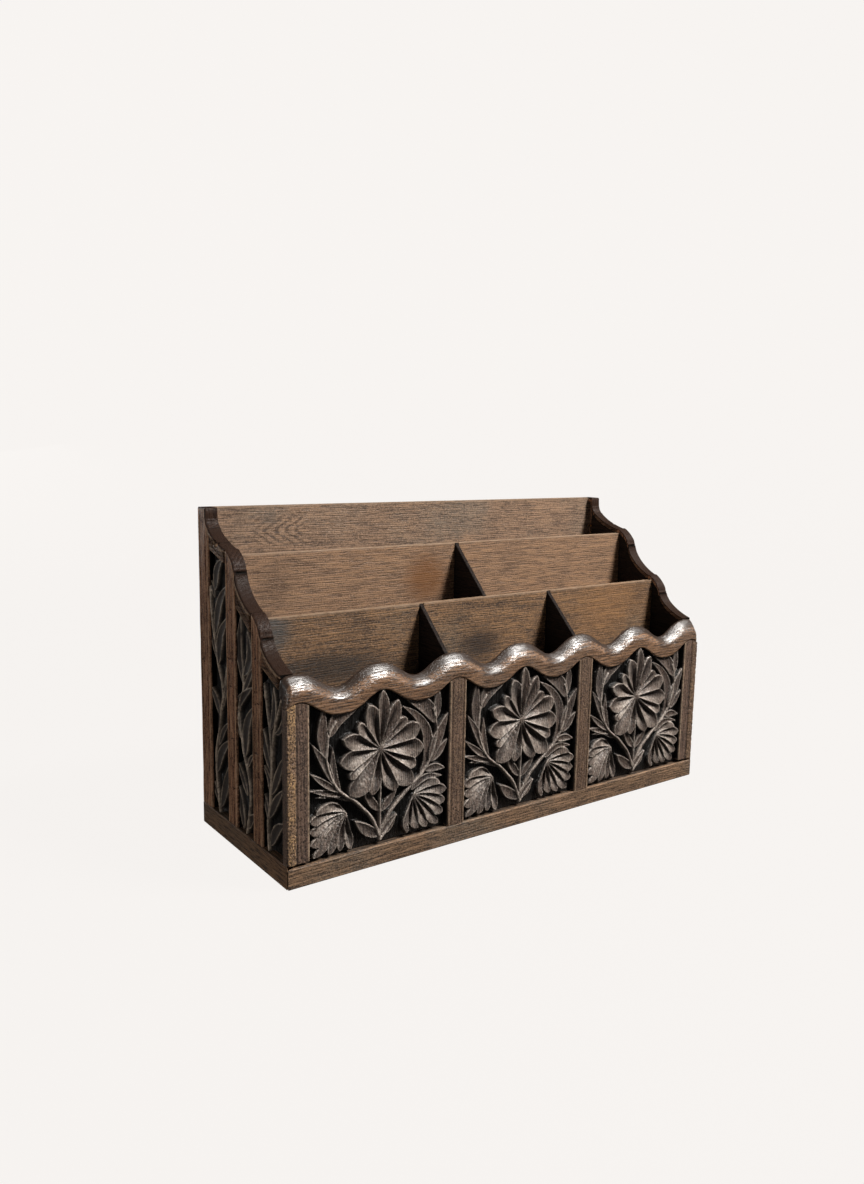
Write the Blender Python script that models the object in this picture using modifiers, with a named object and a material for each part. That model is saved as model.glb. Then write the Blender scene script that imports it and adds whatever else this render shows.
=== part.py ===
"""A stepped letter rack in carved walnut, for sorting post and papers on a desk.

The carcase is framed: posts, stiles and mullions stand on bottom rails by blind tenons, carved
panels fill the bays, and thin liners cover the inside. A back board, two long dividers and
three short partitions stand in housings. Metres, +Z up, front towards -Y, origin at the
centre of the base. Touching pieces keep a gap of GAP.
"""
import math

import bmesh
import bpy
from mathutils import Matrix, Vector

# Overall size
WIDTH = 0.300
DEPTH = 0.104
HEIGHT = 0.180
GAP = 0.0003

# Wall make-up, from the outer face inwards: framing or carving, gap, liner
WALL = 0.0075
FRAME_T = 0.0049
LINER_T = WALL - FRAME_T - GAP
PANEL_RECESS = 0.0005
GROUND_T = 0.0012

# Boards
BACK_T = 0.006
BACK_LAP = 0.003
BASE_T = 0.006
TONGUE = 0.0020
TONGUE_LOW = 0.0020
TONGUE_HIGH = 0.0040
DIVIDER_T = 0.0038
PARTITION_T = 0.0026
HOUSING = 0.0010
REAR_DIVIDER_TOP = 0.157
FRONT_DIVIDER_TOP = 0.128
PARTITION_FRONT_TOP = 0.100

# Front wall
POST_W = 0.0125
FRONT_MULLION_W = 0.011
FRONT_RAIL_H = 0.0105
WAVE_TOP = 0.1010
WAVE_BOTTOM = 0.0885
WAVE_SWING = 0.0045
WAVE_ROUNDING = 0.0006
WAVE_STEP = 0.005
LINER_TOP = 0.0945

# Side walls: distances run forwards from the back edge
SIDE_RAIL_H = 0.012
STILE_END = 0.0129
REAR_MULLION = (0.0350, 0.0462)
FRONT_MULLION = (0.0656, 0.0760)
LINER_START = 0.0104
LIP = 0.003
HOLLOW = 0.6
SWELL = 0.5

# Tenons
TENON_T = 0.0022
TENON_L = 0.003
TENON_INSET = 0.0020

# Panel pins
PIN_R = 0.0005
PIN_HEAD_R = 0.0009
PIN_HEAD_T = 0.0004
PIN_SUNK = 0.0004
BACK_PIN_L = 0.0085
BASE_PIN_L = 0.0120
BACK_PIN_HEIGHTS = (0.030, 0.095, 0.160)
BASE_PIN_X = 0.095

# How far a cutter or a joined shape reaches past the face that it crosses
SPARE = 0.001

# Worked out from the dimensions above
HALF_W = WIDTH / 2
HALF_D = DEPTH / 2
INNER_X = HALF_W - WALL
INNER_FRONT = -HALF_D + WALL
INNER_BACK = HALF_D - BACK_T
BAY_W = (WIDTH - 2 * POST_W - 2 * FRONT_MULLION_W) / 3
BAY_PITCH = BAY_W + FRONT_MULLION_W
WAVE_PERIOD = BAY_PITCH / 2
ROW_DEPTH = (INNER_BACK - INNER_FRONT - 2 * DIVIDER_T) / 3
REAR_DIVIDER_Y = INNER_BACK - ROW_DEPTH - DIVIDER_T / 2
FRONT_DIVIDER_Y = INNER_FRONT + ROW_DEPTH + DIVIDER_T / 2
POST_BACK = DEPTH - FRAME_T

# Placements: a flat outline's own X and Y become the wall's run and the height
FRONT_PLANE = Matrix.Rotation(math.radians(90), 4, "X")
SIDE_PLANE = Matrix.Rotation(math.radians(90), 4, "Z") @ Matrix.Rotation(math.radians(90), 4, "X")


# ---------------------------------------------------------------- scene and materials

def clear_scene():
    for item in list(bpy.data.objects):
        bpy.data.objects.remove(item, do_unlink=True)


def collection(name):
    group = bpy.data.collections.new(name)
    bpy.context.scene.collection.children.link(group)
    return group


clear_scene()
PARTS = collection("letter_rack")
CUTTERS = collection("cutters")


def finish(name, colour, roughness, metallic=0.0):
    material = bpy.data.materials.new(name)
    material.use_nodes = True
    shader = material.node_tree.nodes["Principled BSDF"]
    shader.inputs["Base Color"].default_value = (*colour, 1.0)
    shader.inputs["Roughness"].default_value = roughness
    shader.inputs["Metallic"].default_value = metallic
    return material


FRAME_FINISH = ((0.085, 0.045, 0.027), 0.45)
CARVED_FINISH = ((0.050, 0.036, 0.027), 0.40)
BOARD_FINISH = ((0.230, 0.145, 0.085), 0.60)
LINER_FINISH = ((0.060, 0.030, 0.020), 0.55)
BRASS_FINISH = ((0.55, 0.40, 0.18), 0.35, 1.0)


# ---------------------------------------------------------------- making solids

def add_object(name, mesh, group, placement=None):
    item = bpy.data.objects.new(name, mesh)
    group.objects.link(item)
    if placement is not None:
        item.matrix_world = placement
    return item


def add_part(name, mesh, look, placement=None):
    part = add_object(name, mesh, PARTS, placement)
    if not mesh.materials:
        mesh.materials.append(finish(name + "_wood", *look))
    return part


def box_mesh(name, low, high):
    """A box between two corners, with its mesh centred on its own origin."""
    low = Vector(low)
    high = Vector(high)
    shape = bmesh.new()
    bmesh.ops.create_cube(shape, size=1.0, matrix=Matrix.Diagonal((high - low).to_4d()))
    mesh = bpy.data.meshes.new(name)
    shape.to_mesh(mesh)
    shape.free()
    return mesh, Matrix.Translation((low + high) / 2)


def box(name, low, high, look):
    mesh, placement = box_mesh(name, low, high)
    return add_part(name, mesh, look, placement)


def outline_mesh(name, points, thickness):
    """A flat outline, filled and thickened equally to both sides of its plane."""
    curve = bpy.data.curves.new(name, "CURVE")
    curve.dimensions = "2D"
    curve.fill_mode = "BOTH"
    curve.extrude = thickness / 2
    spline = curve.splines.new("POLY")
    spline.points.add(len(points) - 1)
    for point, (across, up) in zip(spline.points, points):
        point.co = (across, up, 0.0, 1.0)
    spline.use_cyclic_u = True
    holder = add_object(name + "_outline", curve, CUTTERS)
    bpy.context.view_layer.update()
    evaluated = holder.evaluated_get(bpy.context.evaluated_depsgraph_get())
    mesh = bpy.data.meshes.new_from_object(evaluated)
    mesh.name = name
    bpy.data.objects.remove(holder, do_unlink=True)
    bpy.data.curves.remove(curve)
    shape = bmesh.new()
    shape.from_mesh(mesh)
    bmesh.ops.remove_doubles(shape, verts=shape.verts, dist=0.000005)
    bmesh.ops.recalc_face_normals(shape, faces=shape.faces)
    shape.to_mesh(mesh)
    shape.free()
    return mesh


def board(name, points, thickness, plane, offset, look):
    """A board cut to an outline; offset is where the middle of its thickness lies."""
    mesh = outline_mesh(name, points, thickness)
    return add_part(name, mesh, look, Matrix.Translation(offset) @ plane)


def boolean(target, tool, operation):
    modifier = target.modifiers.new(operation.lower() + "_" + tool.name, "BOOLEAN")
    modifier.operation = operation
    modifier.solver = "EXACT"
    modifier.object = tool


def tool_from(name, mesh, placement):
    tool = add_object(name, mesh, CUTTERS, placement)
    tool.hide_render = True
    tool.display_type = "WIRE"
    return tool


def box_tool(name, low, high):
    mesh, placement = box_mesh(name, low, high)
    return tool_from(name, mesh, placement)


def cut(tool, *targets):
    for target in targets:
        boolean(target, tool, "DIFFERENCE")


def tenon(part, rail, low, high):
    """A tenon on part that stands in a mortise in rail, with GAP all round."""
    name = part.name + "_" + rail.name
    boolean(part, box_tool(name + "_tenon", low, high), "UNION")
    grow = Vector((GAP, GAP, GAP))
    cut(box_tool(name + "_mortise", Vector(low) - grow, Vector(high) + grow), rail)


# ---------------------------------------------------------------- curves of the outlines

def wave(x, middle, rounding=WAVE_ROUNDING):
    """Height of a wavy edge. A positive rounding makes its troughs broader, a negative one its crests."""
    turn = 2 * math.pi * x / WAVE_PERIOD
    return middle + WAVE_SWING * math.cos(turn) + rounding * (math.cos(2 * turn) - 1)


def wave_points(start, end, middle, rounding=WAVE_ROUNDING):
    count = max(2, math.ceil(abs(end - start) / WAVE_STEP))
    xs = [start + (end - start) * step / count for step in range(count + 1)]
    return [(x, wave(x, middle, rounding)) for x in xs]


def cavetto(start, end, count=8):
    """A hollow curve that leaves start steeply and reaches end nearly flat."""
    points = []
    for step in range(count + 1):
        turn = math.pi / 2 * step / count
        across = 1 - math.cos(turn)
        down = (1 - HOLLOW) * across + HOLLOW * math.sin(turn)
        points.append((start[0] + (end[0] - start[0]) * across, start[1] + (end[1] - start[1]) * down))
    return points


def ovolo(start, end, count=6):
    """A swelling curve that leaves start nearly flat and reaches end steeply."""
    points = []
    for step in range(count + 1):
        turn = math.pi / 2 * step / count
        across = math.sin(turn)
        down = (1 - SWELL) * across + SWELL * (1 - math.cos(turn))
        points.append((start[0] + (end[0] - start[0]) * across, start[1] + (end[1] - start[1]) * down))
    return points


# The side wall's stepped top edge, as (distance from the back, height)
STEP_FOOT = 0.0102
PROFILE_END = 0.0962
PROFILE = [(0.0, HEIGHT), (0.0094, HEIGHT), (0.0099, 0.1795), (0.0101, 0.1742)]
PROFILE += cavetto((0.0104, 0.1740), (0.0340, 0.1600))
PROFILE += ovolo((0.0365, 0.1600), (0.0454, 0.1508))
PROFILE += cavetto((0.0464, 0.1500), (0.0650, 0.1312))
PROFILE += ovolo((0.0670, 0.1310), (0.0752, 0.1212))
PROFILE += cavetto((0.0762, 0.1204), (PROFILE_END, 0.1060))


def profile_height(distance):
    for (near, near_z), (far, far_z) in zip(PROFILE, PROFILE[1:]):
        if near <= distance <= far and far > near:
            return near_z + (far_z - near_z) * (distance - near) / (far - near)
    return PROFILE[-1][1]


def profile_between(start, end, drop=0.0):
    middle = [point for point in PROFILE if start + 0.0001 < point[0] < end - 0.0001]
    points = [(start, profile_height(start))] + middle + [(end, profile_height(end))]
    return [(distance, height - drop) for distance, height in points]


def side_outline(points):
    """Turns (distance from the back, height) into (Y, Z)."""
    return [(HALF_D - distance, height) for distance, height in points]


# ---------------------------------------------------------------- relief of the carved panels

def turned(point, angle, origin=(0.0, 0.0)):
    across = origin[0] + point[0] * math.cos(angle) - point[1] * math.sin(angle)
    up = origin[1] + point[0] * math.sin(angle) + point[1] * math.cos(angle)
    return (across, up)


def leaf_outline(origin, degrees, length, width, count=5):
    """A pointed leaf that starts at origin and runs length along its angle."""
    upper = []
    lower = []
    for step in range(1, count):
        along = step / count
        half = width / 2 * math.sin(math.pi * along ** 0.8)
        upper.append((length * along, half))
        lower.append((length * along, -half))
    points = [(0.0, -0.0004)] + lower + [(length, 0.0)] + upper[::-1] + [(0.0, 0.0004)]
    return [turned(point, math.radians(degrees), origin) for point in points]


def ribbon_outline(points, width):
    """A band of even width that follows a list of points."""
    left = []
    right = []
    for index, point in enumerate(points):
        before = Vector(points[max(index - 1, 0)])
        after = Vector(points[min(index + 1, len(points) - 1)])
        along = (after - before).normalized()
        left.append((point[0] - along.y * width / 2, point[1] + along.x * width / 2))
        right.append((point[0] + along.y * width / 2, point[1] - along.x * width / 2))
    return left + right[::-1]


def lobed_outline(centre, lobes, root):
    """A flower of lobes, each an (angle, length) pair, with notches between them."""
    points = []
    for index, (angle, length) in enumerate(lobes):
        following = lobes[(index + 1) % len(lobes)][0]
        gap = (following - angle) % 360
        points.append(turned((length * 0.93, 0.0), math.radians(angle - 4), centre))
        points.append(turned((length, 0.0), math.radians(angle), centre))
        points.append(turned((length * 0.93, 0.0), math.radians(angle + 4), centre))
        points.append(turned((root, 0.0), math.radians(angle + gap / 2), centre))
    return points


FLOWER_CENTRE = (0.0, 0.062)
FLOWER_ROOT = 0.020
FLOWER_LOBES = [
    (90, 0.0290), (111, 0.0255), (135, 0.0215), (160, 0.0247), (189, 0.0250), (215, 0.0230),
    (227, 0.0290), (256, 0.0243), (284, 0.0243), (313, 0.0290), (325, 0.0230), (351, 0.0250),
    (20, 0.0247), (45, 0.0215), (69, 0.0255),
]
VINE = [(0.0, 0.0150), (0.0105, 0.0280), (0.0225, 0.0420), (0.0305, 0.0500), (0.0330, 0.0620),
        (0.0315, 0.0730), (0.0270, 0.0810)]
VINE_W = 0.0022
STEM_W = 0.0022
# Leaves right of the stem: start point, angle, length, width
FRONT_LEAVES = [
    ((0.0330, 0.0640), 78, 0.0200, 0.0070), ((0.0320, 0.0540), 52, 0.0150, 0.0060),
    ((0.0270, 0.0450), 30, 0.0160, 0.0055), ((0.0230, 0.0430), 60, 0.0200, 0.0050),
    ((0.0280, 0.0790), 128, 0.0150, 0.0080), ((0.0010, 0.0180), -10, 0.0110, 0.0045),
    ((0.0010, 0.0270), 50, 0.0140, 0.0045),
]
FAN_ORIGIN = (0.0185, 0.0315)
FAN_HUB_R = 0.0014
FAN_LEAVES = [(8, 0.0220), (-18, 0.0230), (-42, 0.0235), (-64, 0.0180), (-86, 0.0160), (-108, 0.0130)]
FAN_LEAF_W = 0.0075
VINE_PITCH = 0.026
VINE_SWING = 0.15
CARVED_EDGE = 0.001
CARVED_HEAD = 0.010
RELIEF_STEP = 0.00005
RELIEF_LEVELS = 8
TRIM_SLACK = 0.00005


def raise_relief(panel, plane, face, inwards, outlines):
    """Joins raised shapes to a panel's ground; face is the middle of the tallest shape's thickness.

    Neighbouring shapes stand at slightly different heights, as carved leaves do.
    """
    depth = FRAME_T - PANEL_RECESS - GROUND_T / 2
    for number, outline in enumerate(outlines):
        sunk = RELIEF_STEP * (1 + number % RELIEF_LEVELS) if number else 0.0
        mesh = outline_mesh(panel.name + "_relief", outline, depth)
        placement = Matrix.Translation(Vector(face) + sunk * Vector(inwards)) @ plane
        tool = tool_from(panel.name + "_relief_%02d" % number, mesh, placement)
        boolean(panel, tool, "UNION")


def front_relief():
    outlines = [lobed_outline(FLOWER_CENTRE, FLOWER_LOBES, FLOWER_ROOT)]
    outlines.append(ribbon_outline([(0.0, 0.0130), (0.0, 0.0460)], STEM_W))
    for side in (1, -1):
        def mirrored(points):
            return [(side * across, up) for across, up in points]
        outlines.append(mirrored(ribbon_outline(VINE, VINE_W)))
        for origin, degrees, length, width in FRONT_LEAVES:
            outlines.append(mirrored(leaf_outline(origin, degrees, length, width)))
        for degrees, length in FAN_LEAVES:
            start = turned((FAN_HUB_R, 0.0), math.radians(degrees), FAN_ORIGIN)
            outlines.append(mirrored(leaf_outline(start, degrees, length - FAN_HUB_R, FAN_LEAF_W)))
    return outlines


def side_relief(low, high, bottom, top):
    """A wavy stem with leaves to alternate sides, between two uprights."""
    middle = (low + high) / 2
    width = high - low
    swing = VINE_SWING * width
    steps = 4 * max(2, round((top - bottom) / VINE_PITCH))
    rise = (top - bottom) / steps
    stem = []
    for step in range(steps + 1):
        stem.append((middle + swing * math.sin(math.pi / 2 * step), bottom + rise * step))
    outlines = [ribbon_outline(stem, VINE_W)]
    for step in range(1, steps - 2, 2):
        side = 1 if step % 4 == 1 else -1
        origin = stem[step]
        outlines.append(leaf_outline(origin, 90 - side * 24, width * 0.72, width * 0.24))
    return outlines


# ---------------------------------------------------------------- shared cutters

def liner_outline(grow):
    start = LINER_START - grow
    end = DEPTH - WALL - GAP + grow
    top = profile_between(max(start, STEP_FOOT), min(end, PROFILE_END), LIP - grow)
    top = [(start, top[0][1])] + top + [(end, top[-1][1])]
    return side_outline(top + [(end, BASE_T + GAP - grow), (start, BASE_T + GAP - grow)])


def side_liner_pocket(side):
    """The rebate that a side liner lies in, cut from the framing's inner face."""
    depth = LINER_T + GAP
    mesh = outline_mesh("side_liner_pocket", liner_outline(GAP), depth + SPARE)
    middle = side * (INNER_X + (depth - SPARE) / 2)
    return tool_from("side_liner_pocket", mesh, Matrix.Translation((middle, 0, 0)) @ SIDE_PLANE)


# ---------------------------------------------------------------- front wall

def make_front_wall():
    outer = -HALF_D
    middle_y = outer + WALL / 2
    frame_y = outer + FRAME_T / 2
    top = wave_points(-HALF_W, HALF_W, WAVE_TOP, -WAVE_ROUNDING)
    bottom = wave_points(HALF_W, -HALF_W, WAVE_BOTTOM)
    rail = board("front_wave_rail", top + bottom, WALL, FRONT_PLANE, (0, middle_y, 0), FRAME_FINISH)

    plan = [(-HALF_W, outer), (HALF_W, outer), (INNER_X, INNER_FRONT), (-INNER_X, INNER_FRONT)]
    bottom_rail = board("front_bottom_rail", plan, FRONT_RAIL_H, Matrix(), (0, 0, FRONT_RAIL_H / 2),
                        FRAME_FINISH)

    pocket = box_tool("front_liner_pocket", (-INNER_X - LINER_T - GAP, outer + FRAME_T, BASE_T),
                      (INNER_X + LINER_T + GAP, INNER_FRONT + SPARE, LINER_TOP + GAP))
    cut(pocket, rail, bottom_rail)
    parts = {"rail": rail, "bottom_rail": bottom_rail, "pocket": pocket}

    post_middle = HALF_W - POST_W / 2
    uprights = [("front_left_post", -post_middle, POST_W),
                ("front_left_mullion", -BAY_PITCH / 2, FRONT_MULLION_W),
                ("front_right_mullion", BAY_PITCH / 2, FRONT_MULLION_W),
                ("front_right_post", post_middle, POST_W)]
    for name, centre, width in uprights:
        low = centre - width / 2
        high = centre + width / 2
        foot = SIDE_RAIL_H if "post" in name else FRONT_RAIL_H
        outline = [(low, foot + GAP), (high, foot + GAP)] + wave_points(high, low, WAVE_BOTTOM - GAP)
        upright = board(name, outline, FRAME_T, FRONT_PLANE, (0, frame_y, 0), FRAME_FINISH)
        half = width / 2 - 2 * TENON_INSET
        near = frame_y - TENON_T / 2
        far = frame_y + TENON_T / 2
        shoulder = wave(centre, WAVE_BOTTOM) - WAVE_SWING / 2
        tip = shoulder + TENON_L + WAVE_SWING / 2
        if foot == FRONT_RAIL_H:
            low_end = (centre - half, near, foot - TENON_L)
            tenon(upright, bottom_rail, low_end, (centre + half, far, foot + SPARE))
        tenon(upright, rail, (centre - half, near, shoulder), (centre + half, far, tip))

    liner_y = outer + FRAME_T + GAP + LINER_T / 2
    liner_x = INNER_X + LINER_T
    parts["liner"] = box("front_liner", (-liner_x, liner_y - LINER_T / 2, BASE_T + GAP),
                         (liner_x, liner_y + LINER_T / 2, LINER_TOP), LINER_FINISH)
    make_front_panels()
    return parts


def front_bay_outline(grow):
    """The opening of a front bay below the wavy rail, larger than its panel by grow."""
    slack = GAP - grow
    half = BAY_W / 2 - slack
    low = FRONT_RAIL_H + slack
    return [(-half, low), (half, low)] + wave_points(half, -half, WAVE_BOTTOM - slack)


def make_front_panels():
    ground_y = -HALF_D + FRAME_T - GROUND_T / 2
    face_y = -HALF_D + (PANEL_RECESS + FRAME_T - GROUND_T / 2) / 2
    outline = front_bay_outline(0.0)
    middle = (0, ground_y, 0)
    first = board("front_carved_panel_centre", outline, GROUND_T, FRONT_PLANE, middle, CARVED_FINISH)
    raise_relief(first, FRONT_PLANE, (0, face_y, 0), (0, 1, 0), front_relief())
    trim = outline_mesh("front_panel_trim", front_bay_outline(TRIM_SLACK), 2 * WALL)
    placement = Matrix.Translation(middle) @ FRONT_PLANE
    boolean(first, tool_from("front_panel_trim", trim, placement), "INTERSECT")
    bpy.context.view_layer.update()
    evaluated = first.evaluated_get(bpy.context.evaluated_depsgraph_get())
    for name, centre in (("front_carved_panel_left", -BAY_PITCH), ("front_carved_panel_right", BAY_PITCH)):
        mesh = bpy.data.meshes.new_from_object(evaluated)
        mesh.materials.clear()
        placement = Matrix.Translation((centre, 0, 0)) @ first.matrix_world
        add_part(name, mesh, CARVED_FINISH, placement)


# ---------------------------------------------------------------- side walls

# Top edges of the three carved bays, as (distance from the back, height)
REAR_BAY_TOP = ((0.0129, 0.1580), (0.0350, 0.1515))
MIDDLE_BAY_TOP = ((0.0462, 0.1315), (0.0656, 0.1190))
FRONT_BAY_TOP = ((0.0760, 0.1055), (PROFILE_END, 0.0970))


def make_side_wall(side, prefix, front):
    middle_x = side * (HALF_W - WALL / 2)
    pocket = side_liner_pocket(side)
    parts = []

    corner = math.sqrt(2) * GAP
    plan = [(side * HALF_W, -HALF_D + corner), (side * INNER_X, INNER_FRONT + corner),
            (side * INNER_X, HALF_D), (side * HALF_W, HALF_D)]
    rail = board(prefix + "bottom_rail", plan, SIDE_RAIL_H, Matrix(), (0, 0, SIDE_RAIL_H / 2), FRAME_FINISH)
    cut(front["pocket"], rail)
    parts.append(rail)

    uprights = [("back_stile", 0.0, STILE_END), ("rear_mullion", *REAR_MULLION),
                ("front_mullion", *FRONT_MULLION)]
    for name, start, end in uprights:
        foot = SIDE_RAIL_H + GAP
        outline = profile_between(start, end) + [(end, foot), (start, foot)]
        outline = side_outline(outline)
        upright = board(prefix + name, outline, WALL, SIDE_PLANE, (middle_x, 0, 0), FRAME_FINISH)
        near = side * (HALF_W - FRAME_T / 2 - TENON_T / 2)
        far = side * (HALF_W - FRAME_T / 2 + TENON_T / 2)
        front_y = HALF_D - end + TENON_INSET
        back_y = HALF_D - start - TENON_INSET - (BACK_T + GAP if name == "back_stile" else 0.0)
        low = (min(near, far), front_y, SIDE_RAIL_H - TENON_L)
        tenon(upright, rail, low, (max(near, far), back_y, foot + SPARE))
        parts.append(upright)

    spandrels = [("rear_spandrel", STILE_END, REAR_MULLION[0], REAR_BAY_TOP),
                 ("middle_spandrel", REAR_MULLION[1], FRONT_MULLION[0], MIDDLE_BAY_TOP),
                 ("front_spandrel", FRONT_MULLION[1], DEPTH - WALL, FRONT_BAY_TOP)]
    for name, start, end, edge in spandrels:
        start += GAP
        end -= GAP
        outline = side_outline(profile_between(start, end) + [(end, edge[1][1]), (start, edge[0][1])])
        parts.append(board(prefix + name, outline, WALL, SIDE_PLANE, (middle_x, 0, 0), FRAME_FINISH))
    cut(pocket, *parts)

    liner_x = side * (INNER_X + LINER_T / 2)
    liner = board(prefix + "liner", liner_outline(0.0), LINER_T, SIDE_PLANE, (liner_x, 0, 0), LINER_FINISH)
    make_side_panels(side, prefix)
    return {"rail": rail, "stile": parts[1], "members": parts, "liner": liner}


def make_side_panels(side, prefix):
    ground_x = side * (HALF_W - FRAME_T + GROUND_T / 2)
    face_x = side * (HALF_W - (PANEL_RECESS + FRAME_T - GROUND_T / 2) / 2)
    bays = [("rear_carved_panel", STILE_END, REAR_MULLION[0], REAR_BAY_TOP),
            ("middle_carved_panel", REAR_MULLION[1], FRONT_MULLION[0], MIDDLE_BAY_TOP),
            ("front_carved_panel", FRONT_MULLION[1], POST_BACK, FRONT_BAY_TOP)]
    for name, start, end, edge in bays:
        low = start + GAP
        high = end - GAP
        foot = SIDE_RAIL_H + GAP
        outline = [(low, foot), (low, edge[0][1] - GAP), (edge[1][0] - GAP, edge[1][1] - GAP)]
        if edge[1][0] < end:
            under_rail = wave(HALF_W, WAVE_BOTTOM) - GAP
            outline += [(edge[1][0] - GAP, under_rail), (high, under_rail)]
        outline.append((high, foot))
        middle = (ground_x, 0, 0)
        panel = board(prefix + name, side_outline(outline), GROUND_T, SIDE_PLANE, middle, CARVED_FINISH)
        head = edge[1][1] - CARVED_HEAD
        shapes = side_relief(low + CARVED_EDGE, high - CARVED_EDGE, foot + CARVED_EDGE, head)
        outlines = [side_outline(shape) for shape in shapes]
        raise_relief(panel, SIDE_PLANE, (face_x, 0, 0), (-side, 0, 0), outlines)


# ---------------------------------------------------------------- boards inside

def make_boards(front, walls):
    rails = [front["bottom_rail"]] + [wall["rail"] for wall in walls]
    base = box("base_board", (-INNER_X + GAP, INNER_FRONT + GAP, 0.0),
               (INNER_X - GAP, INNER_BACK - GAP, BASE_T), BOARD_FINISH)
    reach = Vector((TONGUE, TONGUE, 0.0))
    tongue_low = Vector((-INNER_X, INNER_FRONT, TONGUE_LOW)) - reach
    tongue_high = Vector((INNER_X, INNER_BACK, TONGUE_HIGH)) + reach
    boolean(base, box_tool("base_tongue", tongue_low, tongue_high), "UNION")
    slack = Vector((GAP, GAP, GAP))
    groove = box_tool("base_groove", tongue_low - slack, tongue_high + slack)

    edge = INNER_X + BACK_LAP
    back = box("back_board", (-edge, INNER_BACK, 0.0), (edge, HALF_D, HEIGHT), BOARD_FINISH)
    cut(groove, back, *rails)
    rebate = box_tool("back_rebate", (-edge - GAP, INNER_BACK - GAP, -SPARE),
                      (edge + GAP, HALF_D + SPARE, HEIGHT + SPARE))
    for wall in walls:
        cut(rebate, wall["rail"], wall["stile"])

    dividers = []
    for name, centre, top in (("rear_divider", REAR_DIVIDER_Y, REAR_DIVIDER_TOP),
                              ("front_divider", FRONT_DIVIDER_Y, FRONT_DIVIDER_TOP)):
        reach_x = INNER_X + HOUSING - GAP
        half = DIVIDER_T / 2
        foot = BASE_T - HOUSING + GAP
        divider = box(name, (-reach_x, centre - half, foot), (reach_x, centre + half, top), BOARD_FINISH)
        housing = box_tool(name + "_housing", (-reach_x - GAP, centre - half - GAP, BASE_T - HOUSING),
                           (reach_x + GAP, centre + half + GAP, top + GAP))
        cut(housing, base)
        for wall in walls:
            cut(housing, wall["liner"], *wall["members"])
        dividers.append(divider)
    make_partitions(front, base, dividers)
    return base, back, dividers


def make_partitions(front, base, dividers):
    rear, middle = dividers
    compartment = (2 * INNER_X - 2 * PARTITION_T) / 3
    front_x = compartment / 2 + PARTITION_T / 2
    rows = [("middle_row_partition", 0.0, REAR_DIVIDER_Y - DIVIDER_T / 2, FRONT_DIVIDER_Y + DIVIDER_T / 2,
             REAR_DIVIDER_TOP, FRONT_DIVIDER_TOP, (rear, middle))]
    for name, centre in (("front_row_left_partition", -front_x), ("front_row_right_partition", front_x)):
        rows.append((name, centre, FRONT_DIVIDER_Y - DIVIDER_T / 2, INNER_FRONT, FRONT_DIVIDER_TOP,
                     PARTITION_FRONT_TOP, (middle, front["liner"], front["rail"], front["bottom_rail"])))
    for name, centre, back_y, front_y, back_z, front_z, hosts in rows:
        reach = HOUSING - GAP
        foot = BASE_T - reach
        outline = [(front_y - reach, foot), (back_y + reach, foot), (back_y + reach, back_z),
                   (front_y - reach, front_z)]
        board(name, outline, PARTITION_T, SIDE_PLANE, (centre, 0, 0), BOARD_FINISH)
        slack = PARTITION_T / 2 + GAP
        housing = box_tool(name + "_housing", (centre - slack, front_y - HOUSING, foot - GAP),
                           (centre + slack, back_y + HOUSING, back_z + GAP))
        cut(housing, base, *hosts)


# ---------------------------------------------------------------- panel pins

def pin_mesh(name, length, radius, head_radius, head_thickness):
    """One pin, turned about its own Z, with its head's face at the origin."""
    profile = [(0, 0), (head_radius, 0), (head_radius, -head_thickness), (radius, -head_thickness),
               (radius, -length), (0, -length)]
    mesh = bpy.data.meshes.new(name)
    mesh.from_pydata([(x, 0, z) for x, z in profile], [(i, i + 1) for i in range(len(profile) - 1)], [])
    holder = add_object(name + "_profile", mesh, CUTTERS)
    screw = holder.modifiers.new("turn", "SCREW")
    screw.steps = 8
    screw.render_steps = 8
    screw.use_merge_vertices = True
    screw.merge_threshold = 0.00001
    bpy.context.view_layer.update()
    evaluated = holder.evaluated_get(bpy.context.evaluated_depsgraph_get())
    turned_mesh = bpy.data.meshes.new_from_object(evaluated)
    bpy.data.objects.remove(holder, do_unlink=True)
    return turned_mesh


def grouped(name, single, placements):
    """Copies of one mesh at several places, as separate bodies of one cutter."""
    shape = bmesh.new()
    for placement in placements:
        start = len(shape.verts)
        shape.from_mesh(single)
        shape.verts.ensure_lookup_table()
        bmesh.ops.transform(shape, matrix=placement, verts=shape.verts[start:])
    mesh = bpy.data.meshes.new(name)
    shape.to_mesh(mesh)
    shape.free()
    return mesh


def pins(name, places, direction, length, hosts):
    """Pins driven at each place, head outwards, with a hole round each in its hosts."""
    placements = [Matrix.Translation(place) @ direction for place in places]
    single = pin_mesh(name, length, PIN_R, PIN_HEAD_R, PIN_HEAD_T)
    for number, placement in enumerate(placements, start=1):
        add_part("%s_%d" % (name, number), single, BRASS_FINISH, placement)
    spare = 2 * PIN_SUNK
    hole_name = name + "_hole"
    hole = pin_mesh(hole_name, length + spare + GAP, PIN_R + GAP, PIN_HEAD_R + GAP, spare + PIN_HEAD_T + GAP)
    lifted = [placement @ Matrix.Translation((0, 0, spare)) for placement in placements]
    cut(tool_from(name + "_holes", grouped(name + "_holes", hole, lifted), Matrix()), *hosts)


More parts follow.
